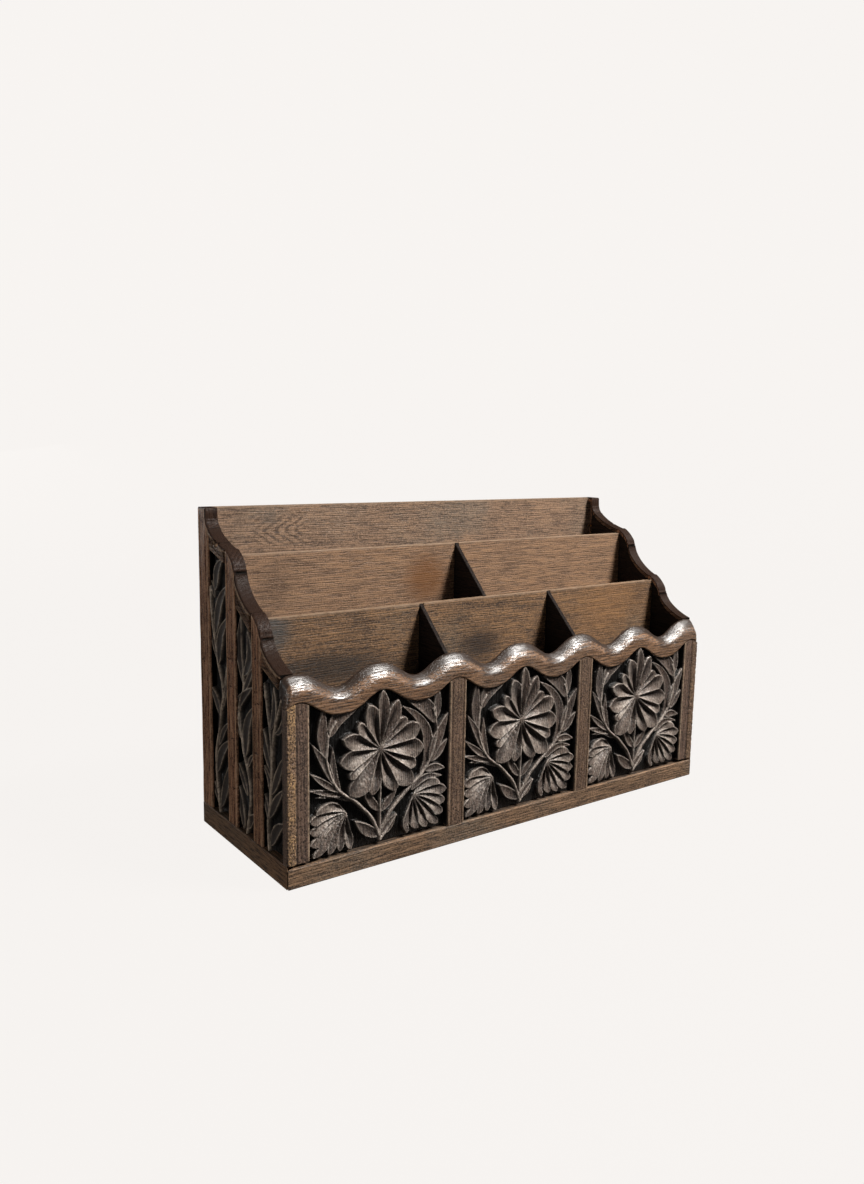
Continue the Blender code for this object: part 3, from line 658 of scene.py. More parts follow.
class Carving:
    """A height field over a bay. deep is the distance below the face of the framing, in millimetres.

    wear_and_highlight, dark and shade are the amounts at each point of pale wear with painted
    highlight, of black painted on the ground as painted shade, and of painted shade in hollows and
    on faces turned from the light.
    """

    # LIGHT is also the way the key light falls: faces turned to it get painted highlight, faces turned away
    # painted shade.
    LIGHT = (0.38, 0.92)  # where the wide faces of gouges turn to: right and up

    # hollow is the painted shade in leaf hollows; lit_face_highlight is the painted highlight on faces turned
    # to LIGHT.
    def __init__(self, across, up, rim=(0.34, 0.24), stem=0.6, wall=0.55, hollow=0.35, lit_face_highlight=0.55):
        self.rim = rim
        self.stem = stem
        self.wall = wall
        self.hollow = hollow
        self.lit_face_highlight = lit_face_highlight
        self.across = across / MM
        self.up = up / MM
        self.ground = FRAME_T / MM - 0.7
        self.deep = np.full(across.shape, self.ground) + 0.12 * noise(self.across, self.up, 3.0, 5)
        self.wear_and_highlight = np.zeros(across.shape)
        self.dark = np.ones(across.shape)
        self.shade = np.zeros(across.shape)

    def lay(self, near, inside, top, ridge, shade=0.0):
        """Adds a shape: inside is the distance in from its outline, top its depth where it is whole."""
        cover = smooth(inside / self.wall + 0.5)
        deep = self.ground + (top - self.ground) * cover
        # Pale rims along each outline: wear together with painted highlight.
        rim = np.exp(-((inside - self.rim[0]) / self.rim[1]) ** 2)
        wear_and_highlight = np.clip(0.95 * rim + ridge, 0, 1) * cover
        higher = deep < self.deep[near]
        # Painted shade: ground that no shape covers is coloured black.
        dark = 1 - smooth(cover * 1.6 - 0.6)
        shade = shade * (1 - 0.8 * rim)
        for field, values in ((self.deep, deep), (self.wear_and_highlight, wear_and_highlight), (self.dark, dark), (self.shade, shade)):
            field[near] = np.where(higher, values, field[near])

    def region(self, line, reach):
        low = line.min(axis=0) - reach
        high = line.max(axis=0) + reach
        across = (self.across > low[0]) & (self.across < high[0])
        return across & (self.up > low[1]) & (self.up < high[1])

    def follow(self, points, width, count):
        """The part of the bay near a curve, and there the distance to the curve, the share of the way
        along it and the length left to its nearer end."""
        line = smooth_line(points, count)
        near = self.region(line, width)
        gap, share = distance_to(line, self.across[near], self.up[near])
        length = np.linalg.norm(np.diff(line, axis=0), axis=1).sum()
        return near, gap, share, np.minimum(share, 1 - share) * length

    def leaf(self, points, width, level, scoop):
        """A pointed leaf along a curve, hollowed between raised edges."""
        near, gap, share, end = self.follow(points, width, 22)
        half = width / 2 * np.sin(math.pi * np.clip(share, 0, 1) ** 0.8) ** 0.8
        inside = np.minimum(half - gap, end + 0.15 - 0.25 * gap)
        fill = np.clip(gap / np.maximum(half, 0.05), 0, 1)
        hollow = scoop * (1 - fill ** 2) * np.clip(half / (width / 2), 0, 1)
        # The hollow of the leaf gets painted shade.
        self.lay(near, inside, level + hollow, 0.0, self.hollow * (1 - fill ** 3))

    def vine(self, points, width, level, taper):
        """A rounded stem along a curve that thins towards its end."""
        near, gap, share, end = self.follow(points, width, 40)
        half = width / 2 * (1 - (1 - taper) * share)
        fill = np.clip(gap / half, 0, 1)
        inside = np.minimum(half - gap, end + 0.3 - 0.3 * gap)
        # A pale line along the top of the stem: wear together with painted highlight.
        self.lay(near, inside, level + 0.65 * fill ** 2, self.stem * np.exp(-(fill / 0.5) ** 2))

    def grow(self, vines, leaves, taper, scoop):
        for points, width, level in vines:
            self.vine(points, width, level, taper)
        for points, width, level in leaves:
            self.leaf(points, width, level, scoop)

    def facets(self, centre, notches, lobes, curl, reach, angle):
        """Which facet of which lobe each point lies on.

        Returns the share of the way from the lobe's valley to its ridge, the distance to the ridge,
        the length of the lobe, how lit the facet is, and how much brighter it is than the other one.
        """
        best = np.full(reach.shape, 9.0)
        ridge_gap = np.full(reach.shape, 9.0)
        length = np.full(reach.shape, 9.0)
        lit = np.zeros(reach.shape)
        glow = np.zeros(reach.shape)
        for index, (tip, _) in enumerate(lobes):
            aim, size = heading(centre, tip, curl)
            sides = [heading(centre, notch, curl)[0] for notch in notches[index:index + 2]]
            straight = [side - curl * size for side in sides]
            towards = [math.cos(side) * self.LIGHT[0] + math.sin(side) * self.LIGHT[1] for side in straight]
            bright = int(towards[0] > towards[1])
            contrast = min(1.0, abs(towards[0] - towards[1]) / 0.24)
            aim += 0.34 * contrast * unwound(sides[1 - bright] - aim)
            turn = unwound(angle - aim)
            for which, side in enumerate(sides):
                width = unwound(side - aim)
                share = turn / width
                mine = (share >= 0) & (share <= 1.0)
                best = np.where(mine, share, best)
                ridge_gap = np.where(mine, np.abs(1 - share) * np.abs(width) * reach, ridge_gap)
                length = np.where(mine, size, length)
                lit = np.where(mine, 1.0 if which == bright else 1.0 - contrast, lit)
                glow = np.where(mine, contrast if which == bright else 0.0, glow)
        return best, ridge_gap, length, lit, glow

    def palm(self, centre, notches, lobes, level, gouge=3.0, curl=0.0):
        """A gouged leaf or flower: each lobe is (tip, bulge) and lies between two notches.

        Valleys run from the centre to the tips and raised ridges to the notches. curl bends them.
        """
        rim = []
        for index, (tip, bulge) in enumerate(lobes):
            rim += bowed(notches[index], tip, bulge) + bowed(tip, notches[index + 1], bulge)
        closed = notches[0] == notches[-1]
        outline = np.array(rim if closed else rim + [notches[-1], centre])
        margin = 1.5
        near = self.region(outline, margin)
        x = self.across[near]
        y = self.up[near]
        inside = inside_outline(outline, x, y)
        inside = np.where(inside > -margin, inside, -9.0)
        reach = np.hypot(x - centre[0], y - centre[1])
        angle = np.arctan2(y - centre[1], x - centre[0]) + curl * reach
        best, ridge_gap, length, lit, glow = self.facets(centre, notches, lobes, curl, reach, angle)
        outer = best > 1.0
        best = np.where(outer, 1.0, best)
        along = np.clip(reach / np.maximum(length, 0.1), 0, 1.2)
        low = smooth(0.5 - (y - centre[1]) / 22.0)
        depth = gouge * (0.62 + 0.38 * low) * (1 - best ** 1.1) * smooth(reach / 7.0)
        depth = depth * (1 - 0.92 * smooth((along - 0.42) / 0.56))
        crest = np.exp(-(np.where(outer, 9.0, ridge_gap) / 0.34) ** 2)
        dish = 1.3 * (1 - smooth(reach / 24.0))
        # Painted highlight on the outer part of each facet turned to the light; painted shade along the
        # valleys and over the facets turned away.
        pale_patches = 0.34 * glow * smooth((along - 0.35) / 0.4) * smooth(best / 0.4)
        ridge = 0.8 * crest * smooth(reach / 3.0) + pale_patches
        facet_shade = lit * np.exp(-(best * 3.2) ** 2) + (1 - lit) * (1 - 0.35 * best) * (0.4 + 0.6 * low)
        trough = facet_shade * smooth(reach / 3.0) * (1 - smooth((along - 0.80) / 0.25)) * (best < 1)
        self.lay(near, inside, level + depth + dish - 0.12 * crest, ridge, trough)

    def finish(self, seed):
        """Adds tool marks, painted highlight on faces turned to the light, painted shade on faces turned
        away.
        """
        self.deep += 0.07 * noise(self.across, self.up, 0.9, seed)
        self.deep += 0.05 * noise(self.across, self.up, 2.3, seed + 1)
        self.wear_and_highlight *= 0.75 + 0.3 * noise(self.across, self.up, 5.0, seed + 2)
        self.wear_and_highlight += 0.12 * smooth(noise(self.across, self.up, 1.1, seed + 3)) * (self.deep < 2.2)
        rise = np.gradient(self.deep, axis=0) / np.gradient(self.up, axis=0)
        turn = np.gradient(self.deep, axis=1) / np.gradient(self.across, axis=1)
        facing = self.LIGHT[1] * rise + self.LIGHT[0] * turn
        whole = (1 - self.dark) * smooth((1.6 - np.hypot(rise, turn)) / 0.5)
        ragged = 0.7 + 0.5 * noise(self.across, self.up, 1.2, seed + 4)
        # Painted highlight: faces turned to LIGHT are made paler.
        self.wear_and_highlight += self.lit_face_highlight * whole * smooth((facing - 0.08) / 0.5) * ragged
        # Painted shade: faces turned away from LIGHT are darkened.
        self.shade = np.clip(self.shade + 0.8 * smooth((-facing - 0.05) / 0.55), 0, 1)
        self.wear_and_highlight = np.clip(self.wear_and_highlight, 0, 1)

    def piece(self, node, place, across, up, look):
        """The finished bay as a closed block that stands for its CAD panel."""
        marks = {"wear_and_highlight": self.wear_and_highlight, "deep": self.dark, "shade": self.shade}
        block(node + "_relief", place, (across, up, self.deep * MM), FRAME_T, marks, node, LOOKS[look],
              88)


# Flower of a front bay: notches and tips (across from the middle, up), clockwise from the top
FLOWER_CENTRE = (-0.3, 61.5)
FLOWER_NOTCHES = [(-2.6, 83.2), (4.6, 82.2), (11.2, 76.6), (15.2, 73.0), (20.3, 64.2), (20.4, 53.4),
                  (18.0, 47.6), (10.2, 40.2), (-0.2, 49.0), (-8.2, 40.6), (-17.0, 48.4), (-17.6, 53.4),
                  (-18.4, 64.0), (-14.2, 72.0), (-9.8, 75.6)]
FLOWER_LOBES = [((0.2, 93.4), 0.20), ((9.9, 86.7), 0.22), ((15.0, 76.2), 0.35), ((23.2, 71.2), 0.30),
                ((26.2, 58.6), 0.24), ((21.2, 49.2), 0.26), ((19.6, 39.8), 0.28), ((7.0, 37.6), 0.36),
                ((-5.0, 37.8), 0.36), ((-19.6, 40.4), 0.34), ((-19.8, 50.0), 0.36), ((-25.2, 58.4), 0.24),
                ((-23.4, 70.6), 0.26), ((-13.6, 77.6), 0.42), ((-8.2, 86.2), 0.24)]
# Fans beside the foot of a front bay, clockwise; a bowed lobe lies between each two notches
LEFT_FAN = dict(
    centre=(-20.0, 31.6),
    notches=[(-24.0, 36.6), (-38.6, 34.4), (-38.2, 28.6), (-37.6, 23.0), (-36.6, 17.2), (-31.6, 15.6),
             (-26.4, 15.8), (-21.6, 17.6), (-17.4, 21.0)][::-1],
    lobes=[((-34.0, 38.6), 0.30), ((-42.0, 31.6), 0.26), ((-42.0, 25.8), 0.28), ((-42.0, 19.4), 0.28),
           ((-40.6, 12.4), 0.28), ((-31.4, 12.0), 0.32), ((-24.6, 12.4), 0.34), ((-18.4, 11.6), 0.34)][::-1],
    curl=-0.013)
RIGHT_FAN = dict(
    centre=(20.2, 32.4),
    notches=[(24.0, 37.0), (37.8, 35.6), (37.6, 29.4), (37.0, 23.6), (34.6, 18.4), (29.2, 16.6), (23.6, 16.6),
             (17.6, 17.2), (14.2, 21.0)],
    lobes=[((33.8, 39.8), 0.30), ((42.0, 32.4), 0.26), ((41.2, 26.2), 0.28), ((39.8, 19.6), 0.28),
           ((36.4, 13.4), 0.30), ((28.8, 13.0), 0.34), ((23.0, 13.4), 0.34), ((16.2, 12.2), 0.34)],
    curl=0.013)
# Vines and leaves of a front bay: points (across from the middle, up), width, level
FRONT_VINES = [
    ([(-0.5, 14), (-5.5, 25.5), (-11, 32), (-16, 37.2), (-21.5, 41.2), (-26.5, 46), (-30.5, 54), (-32.3, 62),
      (-31.8, 70), (-30, 76), (-27, 80)], 2.3, 0.95),
    ([(0.3, 19), (6, 27.5), (12, 33), (19, 38.8), (25, 43.5), (30, 50), (33.3, 58), (34.6, 65), (33.8, 72),
      (32, 78)], 2.3, 0.95),
    ([(-0.8, 13), (-0.9, 30), (-0.6, 46)], 2.2, 1.0),
    ([(-0.4, 13), (4.5, 18.5), (9.5, 24.5)], 1.6, 1.3),
]
FRONT_LEAVES = [
    ([(-32.3, 62), (-34.6, 75), (-33.6, 89)], 6.4, 1.0), ([(-28, 48), (-33.5, 60), (-40.8, 71.5)], 4.6, 0.9),
    ([(-25, 43.5), (-33, 49.5), (-41.8, 56.5)], 3.8, 1.1),
    ([(-21.5, 41), (-31, 44.2), (-42, 47.5)], 3.8, 1.5),
    ([(-30.2, 73), (-26, 81.5), (-13, 87)], 7.6, 1.15), ([(-24.2, 43), (-28, 53), (-29, 68)], 4.4, 1.1),
    ([(-0.8, 15.5), (-8, 19.5), (-16, 26.3)], 6.4, 1.3), ([(-1, 28.5), (-5, 33.5), (-10.8, 41)], 5.0, 1.5),
    ([(33.4, 71), (35, 80), (35.2, 90)], 5.2, 1.2), ([(29.5, 49), (35.5, 62), (42, 75)], 6.6, 0.9),
    ([(31, 49), (37, 54.5), (42, 60.5)], 4.6, 1.1), ([(27, 45), (34, 45.3), (41, 44)], 4.8, 1.5),
    ([(33.6, 70), (27.5, 80), (13.5, 87.3)], 8.4, 1.1),
    ([(24, 42), (29, 52), (28.3, 66), (21.5, 76), (12, 82.5)], 6.6, 1.6),
    ([(0.3, 15.5), (5, 19.5), (9.3, 25)], 5.6, 1.6), ([(0, 28), (4.6, 32.8), (10, 38.6)], 4.4, 1.5),
    ([(18.5, 35.5), (28, 41), (39.5, 39.8)], 4.0, 1.6), ([(-17, 37), (-27, 42.2), (-38, 43)], 3.4, 1.9),
]


def carve_front_bay(node, centre, seed):
    half = BAY_W / 2 - GAP
    across = np.linspace(-half, half, int(2 * half / CARVING_STEP))
    a, u = grid(across, FRONT_RAIL_H + GAP, wave(across, WAVE_BOTTOM) - GAP, CARVING_STEP)
    carving = Carving(a, u)
    carving.grow(FRONT_VINES, FRONT_LEAVES, taper=0.6, scoop=0.75)
    for fan in (LEFT_FAN, RIGHT_FAN):
        carving.palm(**fan, level=1.0, gouge=2.3)
    carving.palm(FLOWER_CENTRE, FLOWER_NOTCHES + FLOWER_NOTCHES[:1], FLOWER_LOBES, level=0.55)
    carving.finish(seed)
    carving.piece(node, on_front, a + centre, u, "carving")


# Side bays: distance from the back, up, in millimetres
REAR_VINES = [
    ([(22.5, 12), (20.5, 24), (19, 33), (18.6, 45), (21, 54), (24, 62), (25.5, 70), (28.5, 80), (27, 88),
      (23, 97), (20, 108), (17, 118), (15.2, 130), (15, 138)], 1.7, 0.8),
    ([(25.5, 70), (30, 82), (33, 94), (36, 108)], 1.6, 1.1),
]
REAR_LEAVES = [
    ([(23.3, 15), (29, 29), (36.5, 46)], 7.3, 1.3), ([(19.3, 34), (25, 47), (37, 58)], 6.9, 1.0),
    ([(21.5, 50), (27.5, 60), (36.5, 68)], 4.4, 1.2), ([(22, 15), (17, 22), (12, 31)], 4.4, 1.3),
    ([(24.8, 68), (19.5, 76), (12.5, 83)], 5.6, 0.9), ([(25.6, 70), (31, 86), (35.5, 104)], 5.1, 1.3),
    ([(23.5, 96), (26, 112), (36, 125)], 7.4, 1.0), ([(19.6, 112), (24.5, 129), (36, 142)], 7.4, 1.2),
    ([(20.5, 136), (22.5, 147), (30.5, 155)], 6.9, 1.1), ([(19, 132), (16, 138), (12, 143)], 3.9, 1.4),
    ([(22, 98), (17, 108), (13, 121)], 4.8, 1.2),
]
MIDDLE_VINES = [
    ([(57, 12), (60, 25), (61.5, 33), (60.5, 42), (58, 48), (54, 56), (52, 64), (49, 71), (50.5, 82),
      (55, 90), (54.5, 100)], 1.7, 0.8),
]
MIDDLE_LEAVES = [
    ([(51, 62), (48, 79), (66, 94)], 6.6, 1.0), ([(55.5, 53), (57, 70), (66, 84)], 7.4, 1.3),
    ([(58, 33), (52.5, 41), (46, 50)], 4.7, 1.0), ([(57.5, 48), (61, 54), (66, 58)], 3.6, 1.3),
    ([(53.5, 13), (50.5, 24), (47.5, 37)], 5.7, 1.1), ([(56.5, 14), (60, 20), (66, 26)], 5.7, 1.5),
    ([(54, 93), (50, 110), (53, 129)], 6.6, 1.1), ([(55, 96), (61.5, 107), (60, 122)], 6.6, 1.0),
    ([(54.5, 88), (60, 96), (66, 104)], 4.7, 1.2),
]
FRONT_SIDE_VINES = [
    ([(83, 12), (82, 27), (84.5, 37), (85.2, 45), (86.5, 55), (86.2, 65), (85, 75), (82.5, 85), (80, 97)],
     1.7, 0.8),
    ([(86.5, 60), (88.5, 75), (92.5, 85), (98, 97)], 1.9, 1.1),
]
FRONT_SIDE_LEAVES = [
    ([(85.3, 75), (88.6, 86), (88.5, 99)], 5.1, 1.2), ([(86, 54), (80.5, 64), (77.3, 76)], 5.7, 0.9),
    ([(85, 41), (82.5, 50), (75.5, 57)], 4.1, 1.2), ([(82.5, 26), (79.6, 35), (75.5, 44)], 3.9, 1.3),
    ([(85.6, 42), (92, 54), (99, 67)], 5.9, 1.2), ([(83.2, 29), (90, 40), (99, 50)], 5.6, 1.0),
    ([(84.2, 15), (90, 25), (99, 32)], 6.6, 1.3), ([(88.5, 74), (94, 78), (99, 88)], 3.6, 1.6),
    ([(81, 88), (78, 95), (77, 101)], 3.1, 1.4),
]


def carve_side_bay(node, place, start, end, top, vines, leaves, seed):
    """A side bay between two uprights; top is a list of (distance, height) for its upper edge."""
    across = np.linspace(start + GAP, end - GAP, int((end - start) / CARVING_STEP))
    upper = np.interp(across, [point[0] for point in top], [point[1] for point in top]) - GAP
    a, u = grid(across, SIDE_RAIL_H + GAP, upper, CARVING_STEP)
    lean = np.interp(a, [start, end], [1.9 * MM, 0.5 * MM])
    carving = Carving(a + lean, u, rim=(0.5, 0.42), stem=1.0, wall=0.8, hollow=0.9, lit_face_highlight=0.2)
    carving.grow(vines, leaves, taper=0.8, scoop=0.8)
    carving.finish(seed)
    carving.piece(node, place, a, u, "side_carving")


# ---------------------------------------------------------------- framing

def spaced(start, end, step, fine=(), margin=1.5 * MM):
    """Places from start to end, closer together near both ends and near any fine place."""
    places = list(np.linspace(start, end, max(4, int((end - start) / step))))
    for spot in [start, end, *fine]:
        shifted = spot + np.linspace(-margin, margin, 11)
        places += [place for place in shifted if start <= place <= end]
    return np.unique(np.round(places, 6))


def ridge(distance, middle, width):
    """1 at a distance of middle millimetres, falling off over width millimetres either side."""
    return np.exp(-((distance - middle * MM) / (width * MM)) ** 2)


def rounded(distance, radius):
    """Depth of a quarter-round edge, at a distance in from the edge."""
    reach = np.clip(radius - distance, 0, radius * 0.999)
    return radius - np.sqrt(radius ** 2 - reach ** 2)


def cracks(across, up, spots):
    """Narrow dark cuts across the grain: each spot is (across, up, half length), in millimetres."""
    cut = np.zeros(across.shape)
    for x, z, half in spots:
        bend = 0.4 * np.sin((across / MM - x) * 1.3)
        here = np.exp(-((up / MM - z - bend) / 0.28) ** 2) * smooth((half - np.abs(across / MM - x)) / 0.8)
        cut = np.maximum(cut, here)
    return cut


def make_post(name, side):
    """A front corner post: stippled outer band, a small step, and a flat with a pale inner arris."""
    low = corner(name, 0, "x")
    high = corner(name, 1, "x")
    edge = high if side > 0 else low
    step = grid_step(0.4)
    across = spaced(low, high, step)
    a, u = grid(across, SIDE_RAIL_H + GAP, wave(across, WAVE_BOTTOM) - GAP, step * 1.1)
    outer = np.abs(a - edge)
    inner = (high - low) - outer
    band = smooth((5.2 * MM - outer) / (0.7 * MM))
    dents = smooth(noise(a / MM, u / MM, 0.75, 31) * 1.3)
    groove = ridge(outer, 5.6, 0.35)
    deep = np.maximum(rounded(outer, 0.9 * MM), rounded(inner, 0.5 * MM)) + (1 - band) * 0.45 * MM
    deep = deep + band * dents * 0.30 * MM + (1 - band) * 0.06 * MM * noise(a / MM, u / MM, 1.4, 32)
    deep = np.minimum(deep + 0.25 * MM * groove, FRAME_T - 2 * SHOULDER)
    gilt = band * (0.85 if side < 0 else 0.3) * (1 - 0.7 * dents) * smooth(outer / (0.8 * MM))
    gilt = gilt * (0.65 + 0.35 * noise(a / MM * 0.5, u / MM, 6.0, 33))
    marks = {"wear_and_highlight": 0.8 * ridge(inner, 0.5, 0.45), "deep": 0.6 * groove, "gilt": gilt}
    block(name + "_worn", on_front, (a, u, deep), FRAME_T, marks, name, LOOKS["post"], 45,
          ("left",) if side > 0 else ("right",))


def make_front_mullion(name):
    low = corner(name, 0, "x")
    high = corner(name, 1, "x")
    step = grid_step(0.45)
    across = spaced(low, high, step)
    a, u = grid(across, FRONT_RAIL_H + GAP, wave(across, WAVE_BOTTOM) - GAP, step * 1.3)
    inner = np.minimum(a - low, high - a)
    dents = smooth(noise(a / MM, u / MM, 0.8, 44) * 1.3) * smooth((inner - 2.2 * MM) / (0.5 * MM))
    deep = rounded(inner, 0.6 * MM) + 0.35 * MM * ridge(inner, 1.9, 0.5)
    deep = deep + 0.07 * MM * noise(a / MM, u / MM * 0.3, 1.1, 41) + 0.22 * MM * dents
    wear_and_highlight = 0.75 * ridge(inner, 0.5, 0.4) * (0.7 + 0.3 * noise(a / MM, u / MM, 3, 42))
    marks = {"wear_and_highlight": wear_and_highlight, "deep": 0.35 * ridge(inner, 1.9, 0.4) + 0.25 * dents, "gilt": 0.10 * (1 - dents)}
    block(name + "_worn", on_front, (a, u, deep), FRAME_T, marks, name, LOOKS["post"], 45,
          ("left", "right"))


ROLL_H = 6.3 * MM
ROLL_SWELL = 1.3 * MM  # the roll is taller on crests and lower in troughs by this much
ROLL_D = 6.2 * MM
ROLL_BEND = 1.2


def make_wave_rail():
    """The wavy top rail: flat below, a heavy roll along its top, rounded outer corners."""
    across = spaced(-HALF_W, HALF_W, grid_step(0.7), margin=4 * MM)
    ends = HALF_W - np.abs(across)
    crests = np.cos(2 * math.pi * across / WAVE_PERIOD)
    lower = wave(across, WAVE_BOTTOM)
    upper = wave(across, WAVE_TOP, -WAVE_ROUNDING) - rounded(ends, 3.2 * MM)
    rolling = 1 - 0.5 * np.cos(np.linspace(0, math.pi / 2, 24))
    share = np.concatenate([np.linspace(0, 0.5, 12), rolling[1:]])[:, None]
    u = lower[None, :] + (upper - lower)[None, :] * share
    a = np.broadcast_to(across[None, :], u.shape).copy()
    slope = np.cos(np.arctan(np.gradient(upper, across)))[None, :]
    from_top = (upper[None, :] - u) * slope
    from_bottom = (u - lower[None, :]) * slope
    roll_h = ROLL_H + ROLL_SWELL * crests[None, :]
    reach = np.clip((roll_h - from_top) / roll_h, 0, 1)
    roll = ROLL_D * (1 - (1 - reach ** ROLL_BEND) ** (1 / ROLL_BEND))
    deep = np.maximum(roll, rounded(from_bottom, 0.5 * MM))
    deep = np.maximum(deep, rounded(np.broadcast_to(ends, u.shape), 2.6 * MM) * 0.9)
    deep = deep + 0.15 * MM * ridge(from_top - roll_h, 0, 0.5)
    deep = deep + 0.10 * MM * (noise(a / MM, u / MM * 2.5, 7.0, 51) + 1)
    deep = deep + 0.05 * MM * (noise(a / MM * 0.6, u / MM * 2, 1.6, 52) + 1)
    wear_and_highlight = 0.5 * ridge(from_bottom, 0.5, 0.5) * (0.7 + 0.5 * noise(a / MM, u / MM, 6, 53))
    trough = smooth((-0.35 - crests) / 0.5)[None, :] * smooth((roll_h + 0.9 * MM - from_top) / (0.8 * MM))
    shade = np.maximum(smooth((0.60 * roll_h - from_top) / (1.6 * MM)), 0.75 * trough)
    marks = {"wear_and_highlight": wear_and_highlight, "shade": shade, "deep": np.zeros(u.shape)}
    back = stepped_back(a, lower, LINER_TOP + GAP, upper, len(a) // 2)
    back[1][-1] -= 0.35 * MM
    block("front_wave_rail_rolled", on_front, (a, u, deep), back, marks, "front_wave_rail", LOOKS["wave"],
          50, ("bottom",))


LIP_H = 2.6 * MM  # how far below a side's top edge its full thickness starts
LIP_ROWS = 3


def stepped_back(a, lower, split, upper, under):
    """Back grid of a block: thin over its first rows, where the liner is, and full above them."""
    rows = len(a)
    back_up = np.empty(a.shape)
    back_deep = np.full(a.shape, WALL_T)
    back_deep[:under] = FRAME_T
    for row in range(under):
        back_up[row] = lower + (split - lower) * row / (under - 1)
    for row in range(under, rows):
        back_up[row] = split + (upper - split) * (row - under) / (rows - 1 - under)
    return a, back_up, back_deep


def side_back(a, bottom, upper):
    return stepped_back(a, bottom, upper - LIP_H, upper, len(a) - LIP_ROWS)


def top_edge_distance(a, u):
    reach = 12 * MM
    near = PROFILE[(PROFILE[:, 0] > a.min() - reach) & (PROFILE[:, 0] < a.max() + reach)]
    return distance_to(near, a, u)[0]


def make_upright(node, place, start, end, spots, seed):
    """A side stile or mullion with softened, paler edges, shallow flutes and a few old cracks."""
    step = grid_step(0.45)
    fine = [TOP_STEP] if start < TOP_STEP < end else []
    across = spaced(start, end, step, fine, 0.8 * MM)
    upper = profile_height(across)
    bottom = np.full(across.shape, SIDE_RAIL_H + GAP)
    a, u = grid(across, bottom, upper, step * 1.4)
    inner = np.minimum(a - start, end - a)
    top = top_edge_distance(a, u)
    cut = cracks(a, u, spots)
    flute = ridge(inner, 2.6, 0.6) * smooth((top - 3 * MM) / (3 * MM))
    deep = np.maximum(rounded(inner, 0.9 * MM), rounded(top, 0.6 * MM)) + 0.28 * MM * flute
    deep = deep + 0.10 * MM * (1 + noise(a / MM, u / MM * 0.15, 1.6, seed)) + 0.55 * MM * cut
    streak = smooth(noise(a / MM, u / MM * 0.08, 1.1, seed + 1))
    wear_and_highlight = 0.55 * ridge(inner, 0.8, 0.6) + 0.55 * ridge(top, 1.0, 0.8) + 0.30 * streak
    # The cracks and flutes are made darker; the top edge gets painted shade through the shade mark and a
    # little black.
    lip = smooth((0.9 * MM - top) / (0.5 * MM))
    dirt_and_shade = np.clip(0.9 * cut + 0.25 * flute + 0.1 * lip, 0, 1)
    marks = {"wear_and_highlight": wear_and_highlight * (1 - cut) * (1 - lip), "deep": dirt_and_shade, "shade": lip}
    walls = ("right",) if start == 0 else ("left", "right")
    block(node + "_worn", place, (a, u, deep), side_back(a, bottom, upper), marks, node, LOOKS["upright"],
          45, walls)


NOTCHES = (15.6, 19.2, 22.6, 25.6)  # distances from the back of four small holes, in millimetres
NOTCH_LINE = ([13, 28], [163.8, 160.6])  # their heights, from one distance to another


def make_spandrel(node, place, start, end, edge, notched, seed):
    """A scalloped top piece: a raised bead along the hollow, a sunk field and a slot by the upright."""
    step = grid_step(0.35)
    start += GAP
    end -= GAP
    across = spaced(start, end, step)
    upper = profile_height(across)
    bottom = np.interp(across, [edge[0][0], edge[1][0]], [edge[0][1], edge[1][1]])
    a, u = grid(across, bottom, upper, step)
    top = top_edge_distance(a, u)
    low_gap = u - bottom[None, :]
    field = smooth((top - 2.5 * MM) / (0.5 * MM))
    second = ridge(top, 5.2, 0.45)
    hollow = smooth((a - (end - 2.7 * MM)) / (0.5 * MM)) * smooth((top - 1.4 * MM) / (0.8 * MM))
    for spot in NOTCHES if notched else ():
        hole = np.exp(-((a / MM - spot) / 0.62) ** 4)
        hollow = np.maximum(hollow, hole * np.exp(-((u / MM - np.interp(spot, *NOTCH_LINE)) / 1.5) ** 4))
    deep = np.maximum(rounded(top, 0.6 * MM), rounded(low_gap, 0.7 * MM)) + 0.55 * MM * field
    deep = deep + 0.30 * MM * second + 0.06 * MM * (1 + noise(a / MM, u / MM, 1.3, seed))
    deep = np.minimum(deep + 3.2 * MM * hollow, FRAME_T - 2 * SHOULDER)
    wear_and_highlight = 0.75 * ridge(top, 1.7, 0.7) + 0.45 * ridge(low_gap, 0.6, 0.5)
    # The slot and the holes are made black as painted shade and the groove in the sunk field darker; the top
    # edge gets painted shade through the shade mark and a little black.
    lip = smooth((0.9 * MM - top) / (0.5 * MM))
    dirt_and_shade = np.clip(hollow + 0.35 * second + 0.1 * lip, 0, 1)
    marks = {"wear_and_highlight": wear_and_highlight * (1 - hollow) * (1 - lip), "deep": dirt_and_shade, "shade": lip}
    block(node + "_moulded", place, (a, u, deep), side_back(a, bottom, upper), marks, node,
          LOOKS["spandrel"], 45, ("bottom", "left", "right"))


# ---------------------------------------------------------------- boards and plain rails

